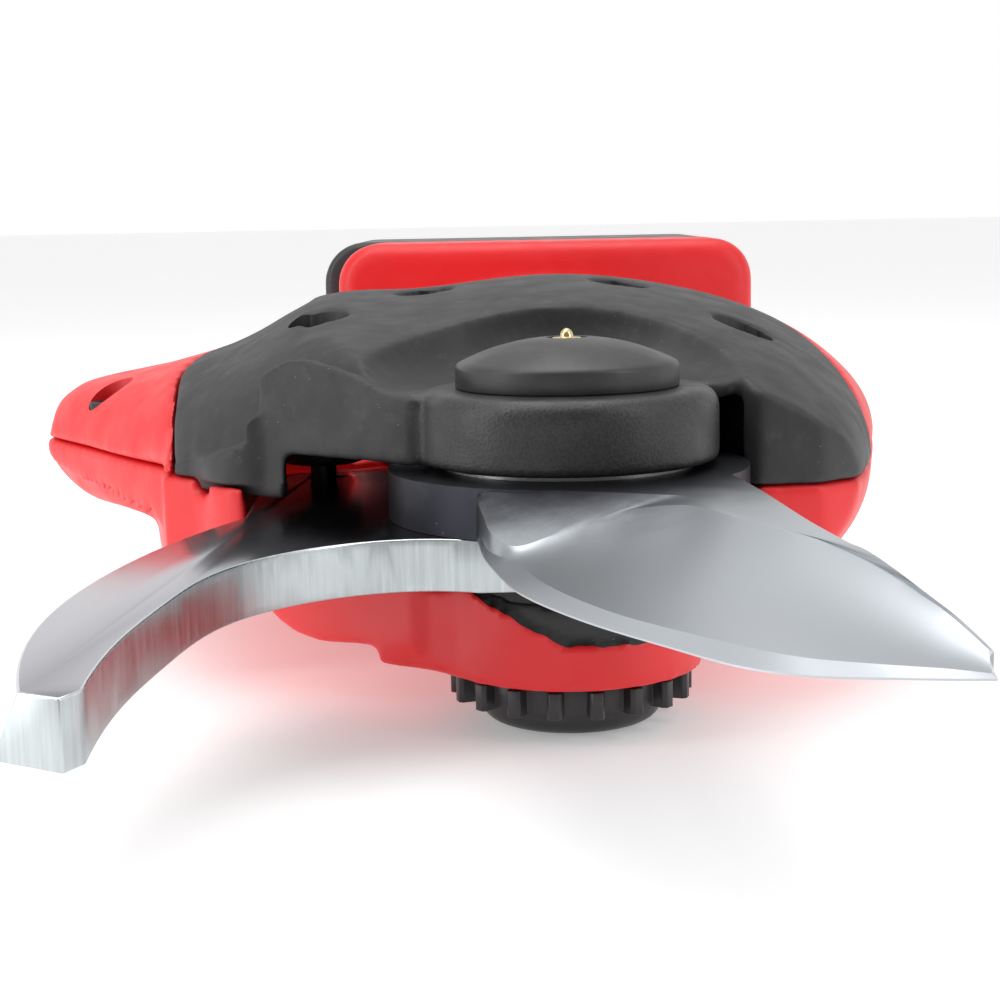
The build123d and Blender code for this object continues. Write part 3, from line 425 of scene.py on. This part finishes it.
def outward(mesh, weld=0.0, split_ends=False):
    """Turns a closed mesh's faces outward, after welding its points or splitting its many-sided ends."""
    work = bmesh.new()
    work.from_mesh(mesh)
    if weld:
        bmesh.ops.remove_doubles(work, verts=work.verts, dist=weld)
    if split_ends:
        bmesh.ops.triangulate(work, faces=[f for f in work.faces if len(f.verts) > 4])
    bmesh.ops.recalc_face_normals(work, faces=work.faces)
    work.to_mesh(mesh)
    work.free()
    return mesh


def through(points, t):
    """A smooth value at t along a list of points, one to each whole number of t."""
    count = len(points)
    k = min(int(t), count - 2)
    f = t - k
    p0, p1, p2, p3 = (np.array(points[min(max(k + o, 0), count - 1)], float) for o in (-1, 0, 1, 2))
    square = 2 * p0 - 5 * p1 + 4 * p2 - p3
    cube = 3 * p1 - p0 - 3 * p2 + p3
    return 0.5 * (2 * p1 + (p2 - p0) * f + square * f**2 + cube * f**3)


# Height of the parting line between the shells.
PART_Z = 2.0
# Radii of the screw wells' bores, and the heights above the housing where they end.
COVER_WELL_R = 3.45
SHELL_WELL_R = 2.8
COVER_BORE_TOP = 30
SHELL_BORE_TOP = 40
# Each well: x, y and the height of the seat for the screw's head.
COVER_WELLS = [(-27.0, 27.0, 9.0), (21.0, 28.0, 9.0), (-15.5, 42.0, 17.4), (8.0, 42.0, 17.4)]
SHELL_WELLS = [(-55.0, 47.0, 5.9), (-29.0, 150.0, 12.5), (31.0, 150.0, 12.5), (30.0, 62.0, 8.5)]
# Each row is a cut across the blade: edge x, y; inner side of the honed edge x, y, z;
# where the hollow grind meets the facet x, y, z; where the flat starts x, y, z; spine x, y, z.
BLADE_CUTS = [
    ((-9.1, -15.6), (-9.05, -15.65, 2.4), (-9.0, -15.7, 4.2), (-8.6, -15.6, 4.9), (15.0, -9.0, 4.9)),
    ((-8.9, -17.4), (-8.85, -17.45, 1.4), (-8.9, -17.3, 3.9), (-7.0, -16.2, 4.9), (15.5, -12.5, 4.9)),
    ((-8.7, -20.6), (-8.5, -20.6, 0.8), (-8.4, -20.5, 3.1), (-5.0, -16.8, 4.9), (15.8, -14.6, 4.9)),
    ((-8.3, -25.2), (-7.9, -25.2, 0.8), (-7.6, -25.0, 2.2), (-2.6, -17.6, 4.9), (16.0, -16.4, 4.9)),
    ((-7.7, -29.4), (-6.5, -29.0, 0.8), (-5.6, -28.0, 1.7), (0.2, -18.6, 4.9), (16.2, -18.2, 4.9)),
    ((-6.9, -34.0), (-5.0, -33.5, 0.8), (-2.4, -26.8, 2.4), (4.0, -20.0, 4.9), (16.5, -20.8, 4.9)),
    ((-5.7, -39.6), (-3.7, -39.0, 0.8), (1.4, -24.6, 3.35), (7.2, -21.3, 4.9), (16.8, -24.2, 4.9)),
    ((-3.6, -45.2), (-1.6, -45.0, 0.8), (5.4, -23.7, 4.1), (9.4, -22.6, 4.9), (17.25, -29.5, 4.9)),
    ((-0.2, -52.0), (1.5, -51.5, 0.8), (9.5, -26.6, 4.7), (10.5, -26.2, 4.9), (18.0, -37.6, 4.9)),
    ((4.2, -58.9), (5.2, -57.0, 0.8), (12.5, -34.6, 4.88), (12.75, -34.3, 4.9), (19.1, -46.0, 4.9)),
    ((8.6, -65.2), (9.1, -62.0, 0.8), (15.2, -40.8, 4.88), (15.45, -40.6, 4.9), (19.9, -50.0, 4.9)),
    ((13.0, -68.2), (12.8, -65.8, 0.8), (18.2, -46.6, 4.7), (18.3, -46.8, 4.72), (20.9, -54.0, 4.4)),
    ((18.3, -69.2), (17.6, -67.6, 0.7), (21.0, -54.4, 3.9), (21.1, -54.6, 3.9), (22.1, -58.6, 3.6)),
    ((22.0, -69.7), (21.4, -68.6, 0.6), (23.0, -61.6, 2.7), (23.1, -61.8, 2.7), (23.5, -63.0, 2.6)),
    ((24.3, -69.9), (24.1, -69.3, 0.4), (24.55, -66.6, 1.3), (24.6, -66.7, 1.3), (24.8, -67.0, 1.3)),
]
# The sole stands this far off the hook's plane, the film of grease between them.
SOLE = 0.05
# Height of the blade's land above the hook's plane, under the honed edge.
LAND = 0.2
# Rows between two cuts, and points across the hollow grind.
CUT_STEPS = 14
HOLLOW_STEPS = 18
# Depth of the hollow as a share of its width, reached after so many cuts from the heel.
HOLLOW_DEPTH = 0.04125
HOLLOW_FULL_AFTER = 4
FACET_SHARES = (0.33, 0.67, 1.0)
# The steels of the blade's surfaces, by their place in its list of materials.
BLADE_STEELS = [BLADE_TOP, BEVEL, MICRO, HEEL, FACET, OXIDE]
FLAT_SLOT, HOLLOW_SLOT, HONED_SLOT, SIDE_SLOT, FACET_SLOT, SOLE_SLOT = range(6)
# Between these angles, in degrees, the hub has its smaller radius.
HUB_BACK_FROM = 22
HUB_BACK_TO = 168
HUB_SIDES = 180
BORE_SIDES = 72
# Vertical parts of a unit normal that tell a level face, a sloped one and one that looks down.
LEVEL = 0.98
SLOPED = 0.2
FACING_DOWN = 0.9


def blade_rows():
    """Rows of points across the blade, from the sole's edge over the grinds to the spine."""
    rows = []
    total = (len(BLADE_CUTS) - 1) * CUT_STEPS
    columns = list(zip(*BLADE_CUTS))
    for step in range(total + 1):
        edge, honed, meet, flat, spine = (through(column, step / CUT_STEPS) for column in columns)
        row = [(*edge, SOLE), (*edge, LAND), tuple(honed)]
        span = meet - honed
        share = min(step / (HOLLOW_FULL_AFTER * CUT_STEPS), 1.0)
        sag = HOLLOW_DEPTH * float(np.hypot(span[0], span[1])) * share
        for k in range(1, HOLLOW_STEPS + 1):
            f = k / HOLLOW_STEPS
            point = honed + span * f
            row.append((point[0], point[1], point[2] - sag * 4 * f * (1 - f)))
        facet = flat - meet
        row += [tuple(meet + facet * f) for f in FACET_SHARES]
        row += [tuple(spine), (spine[0], spine[1], SOLE)]
        rows.append(row)
    return rows


def strip_material(column):
    """Which ground surface lies between a column of points and the next: an index into the steels."""
    first_facet = 2 + HOLLOW_STEPS
    flat = first_facet + len(FACET_SHARES)
    if column == 0:
        return SIDE_SLOT
    if column == 1:
        return HONED_SLOT
    if column < first_facet:
        return HOLLOW_SLOT
    if column < flat:
        return FACET_SLOT
    return FLAT_SLOT if column == flat else SIDE_SLOT


def ground_front():
    """The blade forward of its hub, as a closed mesh."""
    rows = blade_rows()
    width = len(rows[0])
    points = [at(*point) for row in rows for point in row]
    faces, slots = [], []
    for r in range(len(rows) - 1):
        for c in range(width):
            after = (c + 1) % width
            faces.append((r * width + c, r * width + after, (r + 1) * width + after, (r + 1) * width + c))
            slots.append(SOLE_SLOT if c == width - 1 else strip_material(c))
    last = (len(rows) - 1) * width
    faces.append(tuple(reversed(range(width))))
    faces.append(tuple(range(last, last + width)))
    slots += [SIDE_SLOT, SIDE_SLOT]
    mesh = bpy.data.meshes.new("blade_front")
    mesh.from_pydata(points, [], faces)
    for face, slot in zip(mesh.polygons, slots):
        face.material_index = slot
    return mesh


def plan_prism(outline, low, high):
    """A closed prism between two heights over an outline in plan."""
    count = len(outline)
    points = [at(x, y, low) for x, y in outline] + [at(x, y, high) for x, y in outline]
    sides = [(k, (k + 1) % count, count + (k + 1) % count, count + k) for k in range(count)]
    mesh = bpy.data.meshes.new("plan_prism")
    mesh.from_pydata(points, [], sides + [tuple(reversed(range(count))), tuple(range(count, 2 * count))])
    return outward(mesh)


def hub_disc():
    """The blade's round hub, smaller behind, as the CAD has it."""
    outline = []
    for k in range(HUB_SIDES):
        angle = 2 * pi * k / HUB_SIDES
        behind = radians(HUB_BACK_FROM) < angle < radians(HUB_BACK_TO)
        radius = HUB_BACK_R if behind else HUB_R
        outline.append((radius * cos(angle), radius * sin(angle)))
    mesh = plan_prism(outline, SOLE, BLADE_T)
    for face in mesh.polygons:
        if abs(face.normal.z) < 0.5:
            face.material_index = SIDE_SLOT
        else:
            face.material_index = FLAT_SLOT if face.normal.z > 0 else SOLE_SLOT
    return mesh


def boolean(piece, mesh, operation):
    """Joins a mesh to a piece, or cuts it away, and leaves the piece's mesh applied."""
    other = bpy.data.objects.new("boolean_work", mesh)
    bpy.context.scene.collection.objects.link(other)
    cut = piece.modifiers.new("cut", "BOOLEAN")
    cut.operation = operation
    cut.solver = "EXACT"
    cut.object = other
    apply_modifiers(piece)
    bpy.data.objects.remove(other)


def bore_mesh(radius, low, high, x=0.0, y=0.0):
    """A closed cylinder between two heights, to be cut away."""
    made = bmesh.new()
    bmesh.ops.create_cone(
        made, cap_ends=True, segments=BORE_SIDES, radius1=radius * MM, radius2=radius * MM,
        depth=(high - low) * MM, matrix=Matrix.Translation(at(x, y, (low + high) / 2)),
    )
    mesh = bpy.data.meshes.new("bore")
    made.to_mesh(mesh)
    made.free()
    return mesh


def ground_blade():
    """The cutting blade with its hollow grind, honed edge, facet, heel and blackened hub."""
    piece = bpy.data.objects.new("blade_work", ground_front())
    bpy.context.scene.collection.objects.link(piece)
    for material in BLADE_STEELS:
        piece.data.materials.append(material)
    boolean(piece, hub_disc(), "UNION")
    boolean(piece, bore_mesh(BUSH_R, -1, BLADE_T + 1), "DIFFERENCE")
    mesh = piece.data
    bpy.data.objects.remove(piece)
    outward(mesh, WELD)
    mesh.shade_smooth()
    mesh.set_sharp_from_angle(angle=radians(BLADE_SHARP))
    return link_piece("cutting_blade_ground", mesh, "cutting_blade", BLADE_STEELS)


def ground_hook():
    """The hook: its top dark towards the hub as a painted reflection of the black housing, its outer slope
    a bright lip painted as a highlight.
    """
    steels = [HOOK, HOOK_TOP_REFLECTION, HOOK_LIP_HIGHLIGHT, OXIDE]
    piece = crisp("counter_blade", "counter_blade_ground", 0.25, steels, segments=3)
    for face in piece.data.polygons:
        # Level faces take the painted reflection of the black housing near the hub.
        if face.normal.z > LEVEL:
            face.material_index = steels.index(HOOK_TOP_REFLECTION)
        # Sloped faces take the lip's painted highlight.
        elif face.normal.z > SLOPED:
            face.material_index = steels.index(HOOK_LIP_HIGHLIGHT)
        elif face.normal.z < -FACING_DOWN:
            face.material_index = steels.index(OXIDE)
    return piece


# Sections of the head's left shoulder, each at one x: the front wall's y and its top's height, the
# ridge's y and height, and the y where the back comes down to the parting line.
SHOULDER = [
    (-65.3, 57.5, 2.6, 62.0, 4.4, 67.0),
    (-64.2, 53.8, 2.8, 62.0, 6.8, 71.3),
    (-61.0, 48.7, 3.0, 60.5, 8.8, 72.0),
    (-56.0, 41.0, 3.2, 58.0, 10.1, 72.0),
    (-50.0, 31.8, 3.4, 54.0, 11.3, 71.0),
    (-44.0, 22.4, 3.6, 51.0, 12.9, 70.5),
    (-40.0, 16.2, 4.4, 49.0, 14.2, 70.5),
    (-36.0, 12.6, 6.0, 47.0, 16.0, 70.5),
    (-32.0, 9.8, 7.4, 46.0, 18.2, 71.0),
    (-28.0, 6.9, 8.6, 45.0, 20.1, 72.0),
    (-24.0, 4.0, 9.9, 44.0, 20.9, 74.0),
    (-20.0, 1.1, 11.2, 44.0, 21.2, 76.0),
    (-16.0, -1.8, 12.5, 44.0, 21.4, 78.0),
    (-12.0, -4.6, 13.4, 44.0, 21.6, 80.0),
]
SHOULDER_X = [row[0] for row in SHOULDER]
# The fill that carries the new shoulder ends here on the right.
FILL_RIGHT = -28.5
FILL_SECTIONS = 76
FILL_STEPS = 44
# The shells are also cut down this far ahead of the front wall, less and less between two x.
WALL_AHEAD = 7.0
WALL_BLEND = (-37.0, -31.0)
BACK_KEPT = 1.5
BACK_ROUND = 2.3
# Grid for the cutting down, and how far under the fill's surface it goes.
GRID = 0.5
GRID_Y = (-6.0, 74.0)
UNDER_FILL = 0.35
NO_LIMIT = 1e3
# Gap between the cover and the red shell, and points along each stretch of the line between them.
SEAM = 0.12
EDGE_STEPS = 8
# Lowest heights of the fill under the cover and under the red shell.
COVER_FILL_LOW = 5.6
SHELL_FILL_LOW = 2.7
# Left edge of the black cover in plan, front to back.
COVER_EDGE = [
    (-42.0, 4.0), (-42.1, 12.0), (-43.4, 26.0), (-44.4, 40.0), (-41.0, 54.0), (-27.0, 65.0), (-8.0, 70.5),
]


def shoulder_row(x):
    """One section of the shoulder, smooth between those in the table."""
    place = float(np.interp(x, SHOULDER_X, range(len(SHOULDER))))
    return through([row[1:] for row in SHOULDER], place)


def shoulder_height(row, y):
    """Height of the shoulder's surface at y, along one row of it."""
    front, wall_top, ridge_y, ridge, back = row
    if y <= ridge_y:
        f = min(max((ridge_y - y) / (ridge_y - front), 0.0), 1.0)
        return wall_top + (ridge - wall_top) * (1 - f**2) ** 0.5
    f = min(max((y - ridge_y) / (back - ridge_y), 0.0), 1.0)
    return PART_Z + (ridge - PART_Z) * (1 - f**BACK_ROUND) ** (1 / BACK_ROUND)


def shoulder_fill(low):
    """A closed solid from height low up to the shoulder's surface."""
    rows = []
    shares = [(1 - cos(pi * k / FILL_STEPS)) / 2 for k in range(FILL_STEPS + 1)]
    for x in np.linspace(SHOULDER_X[0], FILL_RIGHT, FILL_SECTIONS):
        row = shoulder_row(x)
        ys = [row[0] + (row[4] - row[0]) * share for share in shares]
        tops = [shoulder_height(row, y) for y in ys]
        ring = [(x, y, z) for y, z in zip(ys, tops)]
        ring += [(x, y, min(low, z - 0.4)) for y, z in reversed(list(zip(ys, tops)))]
        rows.append(ring)
    width = len(rows[0])
    faces = []
    for r in range(len(rows) - 1):
        for c in range(width):
            after = (c + 1) % width
            faces.append((r * width + c, (r + 1) * width + c, (r + 1) * width + after, r * width + after))
    last = (len(rows) - 1) * width
    faces.append(tuple(range(width)))
    faces.append(tuple(reversed(range(last, last + width))))
    mesh = bpy.data.meshes.new("shoulder_fill")
    mesh.from_pydata([at(*point) for ring in rows for point in ring], [], faces)
    return outward(mesh, split_ends=True)


def cover_plan(gap):
    """Prism over everything right of the line between the black cover and the red shell."""
    steps = EDGE_STEPS * (len(COVER_EDGE) - 1)
    edge = [through(COVER_EDGE, k / EDGE_STEPS) for k in range(steps + 1)]
    outline = [(x - gap, y + gap) for x, y in edge]
    return plan_prism(outline + [(60.0, 70.5 + gap), (60.0, -40.0), (-42.0 - gap, -40.0)], -40, 80)


def shoulder_part(low, operation, gap):
    """The fill's share under the cover (INTERSECT) or under the red shell (DIFFERENCE)."""
    piece = bpy.data.objects.new("shoulder_work", shoulder_fill(low))
    bpy.context.scene.collection.objects.link(piece)
    boolean(piece, cover_plan(gap), operation)
    mesh = piece.data
    bpy.data.objects.remove(piece)
    return mesh


def lower_to_shoulder(mesh):
    """Brings whatever stands above the shoulder's surface down to it, or just under the fill."""
    xs = np.arange(SHOULDER_X[0], SHOULDER_X[-1], GRID)
    ys = np.arange(*GRID_Y, GRID)
    limit = np.full((len(xs), len(ys)), NO_LIMIT)
    for i, x in enumerate(xs):
        row = shoulder_row(x)
        ahead = float(np.interp(x, WALL_BLEND, (WALL_AHEAD, 0.0)))
        for j, y in enumerate(ys):
            behind = y > row[2] and x > FILL_RIGHT - 1.0
            if row[0] - ahead < y < row[4] - BACK_KEPT and not behind:
                limit[i, j] = shoulder_height(row, y)
    count = len(mesh.vertices)
    flat = np.empty(count * 3)
    mesh.vertices.foreach_get("co", flat)
    points = flat.reshape(-1, 3) / MM - np.array(PIVOT) / MM
    i = np.round((points[:, 0] - xs[0]) / GRID).astype(int)
    j = np.round((points[:, 1] - ys[0]) / GRID).astype(int)
    inside = (i >= 0) & (i < len(xs)) & (j >= 0) & (j < len(ys))
    ceiling = np.full(count, NO_LIMIT)
    ceiling[inside] = limit[i[inside], j[inside]]
    under = np.where(points[:, 0] < FILL_RIGHT, UNDER_FILL, 0.0)
    points[:, 2] = np.minimum(points[:, 2], ceiling - under)
    mesh.vertices.foreach_set("co", ((points + np.array(PIVOT) / MM) * MM).reshape(-1))
    mesh.update()


def joined(*meshes):
    """Several meshes as one, unmerged."""
    work = bmesh.new()
    for mesh in meshes:
        work.from_mesh(mesh)
    whole = bpy.data.meshes.new("joined")
    work.to_mesh(whole)
    work.free()
    return whole


def moulded_shell(node, name, voxel_mm, rounds, fill, bores, materials=()):
    """A shell with its shoulder made smooth and its screw wells bored crisply."""
    mesh = remeshed(frame["nodes"][node].data.copy(), voxel_mm, 0)
    lower_to_shoulder(mesh)
    mesh = remeshed(joined(mesh, fill), voxel_mm, rounds)
    piece = bpy.data.objects.new("shell_work", mesh)
    bpy.context.scene.collection.objects.link(piece)
    boolean(piece, joined(*bores), "DIFFERENCE")
    done = piece.data
    bpy.data.objects.remove(piece)
    done.shade_smooth()
    done.set_sharp_from_angle(angle=radians(SHELL_SHARP))
    return link_piece(name, done, node, materials)


# The part of the cover that has the boss's leathered skin.
LEATHER_R = 15.6
LEATHER_TOP = 12.9
LEATHER_BACK = 8.0

cover = moulded_shell(
    "head_cover", "head_cover_moulding", 0.4, 12, shoulder_part(COVER_FILL_LOW, "INTERSECT", 0.0),
    [bore_mesh(COVER_WELL_R, seat, COVER_BORE_TOP, x, y) for x, y, seat in COVER_WELLS], [BLACK, BOSS],
)
for face in cover.data.polygons:
    centre = (face.center - PIVOT) / MM
    if centre.xy.length < LEATHER_R and centre.z < LEATHER_TOP and centre.y < LEATHER_BACK:
        face.material_index = 1
moulded_shell(
    "upper_shell", "upper_shell_moulding", 0.5, 16, shoulder_part(SHELL_FILL_LOW, "DIFFERENCE", SEAM),
    [bore_mesh(SHELL_WELL_R, seat, SHELL_BORE_TOP, x, y) for x, y, seat in SHELL_WELLS],
)
# Its second material paints the collar band and the mouth's painted shade black.
lower = softened("lower_shell", "lower_shell_moulding", 0.5, 14, [RED, SEAT_AND_SHADE])


# The black band on the collar's front, partly the black seat ring and partly a painted shadow of the blade
# and hook: its torn lower edge, its depth, how near the edge points are drawn onto it, and the radii that
# hold the collar's points and the band's faces.
SEAT_SHADOW_LINE_X = (-11.4, -1.3, 6.0, 13.0)
SEAT_SHADOW_LINE_Z = (-5.4, -10.6, -10.9, -9.6)
SEAT_DEPTH = 0.45
SNAP = 0.36
COLLAR_TOP = -5.0
COLLAR_SKIN = (12.2, 14.2)
SEAT_SHADOW_SKIN = (11.4, 14.0)
# The mouth under the head, painted black as painted shade: its sides, back and bottom, and the slanted
# front wall that it lies behind.
MOUTH_X = (-36.0, 14.0)
MOUTH_BACK = 34.0
MOUTH_LOW = -5.6
MOUTH_WALL = (-13.0, -4.0)
MOUTH_ACROSS = (0.58, 0.815)
MOUTH_WALL_T = 1.2


def seat_and_shadow_line(x):
    """Height of the torn edge where the red collar ends and the black band shows above it, partly seat ring
    and partly painted shadow.
    """
    slope = float(np.interp(x, SEAT_SHADOW_LINE_X, SEAT_SHADOW_LINE_Z))
    return slope + 0.10 * sin(1.7 * x) + 0.05 * sin(4.1 * x + 1)


def inside_mouth(spot):
    """Whether a point of the lower shell lies in the space behind the head's front wall, painted black as
    painted shade.
    """
    past_wall = MOUTH_ACROSS[0] * (spot.x - MOUTH_WALL[0]) + MOUTH_ACROSS[1] * (spot.y - MOUTH_WALL[1])
    in_width = MOUTH_X[0] < spot.x < MOUTH_X[1]
    return in_width and spot.y < MOUTH_BACK and spot.z > MOUTH_LOW and past_wall > MOUTH_WALL_T


for vertex in lower.data.vertices:
    spot = (vertex.co - PIVOT) / MM
    if spot.y < 0 and COLLAR_SKIN[0] < spot.xy.length < COLLAR_SKIN[1] and spot.z < COLLAR_TOP:
        above = spot.z - seat_and_shadow_line(spot.x)
        if abs(above) < SNAP:
            vertex.co.z -= above * MM
        elif above > 0:
            inward = -spot.xy.normalized() * SEAT_DEPTH * MM
            vertex.co += Vector((inward.x, inward.y, 0))
# The collar band's faces get the black, partly seat ring and partly painted shadow of the blade and hook;
# faces in the mouth get it as painted shade.
for face in lower.data.polygons:
    spot = (face.center - PIVOT) / MM
    on_front = spot.y < 0 and SEAT_SHADOW_SKIN[0] < spot.xy.length < SEAT_SHADOW_SKIN[1]
    seat_and_shadow = on_front and seat_and_shadow_line(spot.x) < spot.z < COLLAR_TOP
    if seat_and_shadow or inside_mouth(spot):
        face.material_index = 1

# CAD node, voxel size in millimetres and rounds of smoothing.
for node, voxel_mm, rounds in (
    ("trigger", 0.4, 16),
    ("battery_case", 0.6, 6),
    ("battery_cover", 0.6, 6),
    ("grip_pad_upper", 0.3, 3),
    ("grip_pad_lower", 0.3, 3),
):
    softened(node, node + "_moulding", voxel_mm, rounds)
crisp("pivot_cap", "pivot_cap_turned", 0.25, [CAP])
crisp("tension_knob", "tension_knob_moulding", 0.15)
# The photo's nipple is this much narrower than the CAD's, and sits this much lower.
NIPPLE_WIDTH = 0.72
NIPPLE_SINK = 0.35
nipple = crisp("grease_nipple", "grease_nipple_turned", 0.1)
for vertex in nipple.data.vertices:
    spot = vertex.co - PIVOT
    vertex.co = PIVOT + Vector((spot.x * NIPPLE_WIDTH, spot.y * NIPPLE_WIDTH, spot.z - NIPPLE_SINK * MM))
ground_hook()
ground_blade()
crisp("blade_seat", "blade_seat_ring", 0.2, [SEAT_AND_SHADE])
crisp("power_button", "power_button_moulding", 0.3)

# ---------------------------------------------------------------- stage, light and camera

# The lens: the sensor's width in millimetres and the focal length as a share of it.
SENSOR = 36.0
FOCAL_SHARE = 1.862
# Where the camera stands, from the pivot, and its tilts in radians.
CAMERA_AT = (-6.88, -184.1, 29.94)
PITCH_DOWN = 0.154
ROLL = -0.019
# Half the floor's side and its distance below the tool, in metres.
FLOOR_HALF = 6.0
FLOOR_DROP = 0.0002
FLOOR_GLOW = 0.26
# Strength of the white world in front, in the band above the horizon and overhead.
FRONT_LIGHT = 0.34
BAND_LIGHT = 0.62
TOP_LIGHT = 1.75


def add_camera():
    """The photograph's viewpoint: close, low, looking back along the blades."""
    data = bpy.data.cameras.new("camera")
    data.sensor_width = SENSOR
    data.lens = SENSOR * FOCAL_SHARE
    data.clip_start = 0.01
    camera = bpy.data.objects.new("camera", data)
    bpy.context.scene.collection.objects.link(camera)
    ahead = Vector((0, cos(PITCH_DOWN), -sin(PITCH_DOWN)))
    across = Vector((1, 0, 0))
    up = across.cross(ahead)
    right = cos(ROLL) * across + sin(ROLL) * up
    top = -sin(ROLL) * across + cos(ROLL) * up
    turn = Matrix((right, top, -ahead)).transposed().to_4x4()
    camera.matrix_world = Matrix.Translation(at(*CAMERA_AT)) @ turn
    bpy.context.scene.camera = camera


def add_area(name, position, aim, size, power):
    """A soft rectangular light, aimed at a point; size in metres, power in watts."""
    data = bpy.data.lights.new(name, "AREA")
    data.shape = "RECTANGLE"
    data.size = size[0]
    data.size_y = size[1]
    data.energy = power
    lamp = bpy.data.objects.new(name, data)
    bpy.context.scene.collection.objects.link(lamp)
    lamp.location = at(*position)
    lamp.rotation_euler = (at(*aim) - lamp.location).to_track_quat("-Z", "Y").to_euler()


def add_floor():
    """A pale sheet that the tool lies on."""
    mesh = bpy.data.meshes.new("floor")
    sides = ((-1, -1), (1, -1), (1, 1), (-1, 1))
    corners = [(x * FLOOR_HALF, y * FLOOR_HALF, FLOOR_Z - FLOOR_DROP) for x, y in sides]
    mesh.from_pydata(corners, [], [(0, 1, 2, 3)])
    floor = bpy.data.objects.new("floor", mesh)
    bpy.context.scene.collection.objects.link(floor)
    s = Shader("floor_paper", (0.93, 0.93, 0.93), 0.8)
    s.color(s.mix(s.ramp(s.noise(0.01, 3.0), 0.3, 0.7), (0.93, 0.93, 0.93), (0.91, 0.91, 0.91)))
    s.set("Emission Color", (1, 1, 1, 1))
    s.set("Emission Strength", FLOOR_GLOW)
    mesh.materials.append(s.material)


def add_world():
    """A white studio: bright behind and overhead, dimmer towards the camera's side."""
    world = bpy.data.worlds.new("world")
    bpy.context.scene.world = world
    world.use_nodes = True
    tree = world.node_tree
    background = tree.nodes["Background"]
    background.inputs["Color"].default_value = (1, 1, 1, 1)
    coords = tree.nodes.new("ShaderNodeTexCoord")
    split = tree.nodes.new("ShaderNodeSeparateXYZ")
    tree.links.new(coords.outputs["Generated"], split.inputs[0])
    made = []
    bands = (
        ("Y", -0.9, 0.2, FRONT_LIGHT, 1.0),
        ("Z", 0.22, 0.55, 1.0, BAND_LIGHT),
        ("Z", 0.62, 0.95, 1.0, TOP_LIGHT),
    )
    for axis, low, high, dim, bright in bands:
        ramp = tree.nodes.new("ShaderNodeMapRange")
        ramp.interpolation_type = "SMOOTHSTEP"
        ramp.inputs["From Min"].default_value = low
        ramp.inputs["From Max"].default_value = high
        ramp.inputs["To Min"].default_value = dim
        ramp.inputs["To Max"].default_value = bright
        tree.links.new(split.outputs[axis], ramp.inputs["Value"])
        made.append(ramp.outputs["Result"])
    total = made[0]
    for factor in made[1:]:
        product = tree.nodes.new("ShaderNodeMath")
        product.operation = "MULTIPLY"
        tree.links.new(total, product.inputs[0])
        tree.links.new(factor, product.inputs[1])
        total = product.outputs["Value"]
    tree.links.new(total, background.inputs["Strength"])


add_camera()
add_floor()
add_world()
add_area("key", (-60, 60, 420), (0, 20, 0), (0.5, 0.3), 0.9)
add_area("left", (-380, -120, 200), (0, 0, 0), (0.12, 0.5), 0.8)
add_area("right", (330, -180, 240), (0, 0, 0), (0.10, 0.4), 0.5)
bpy.context.scene.view_settings.view_transform = "Standard"
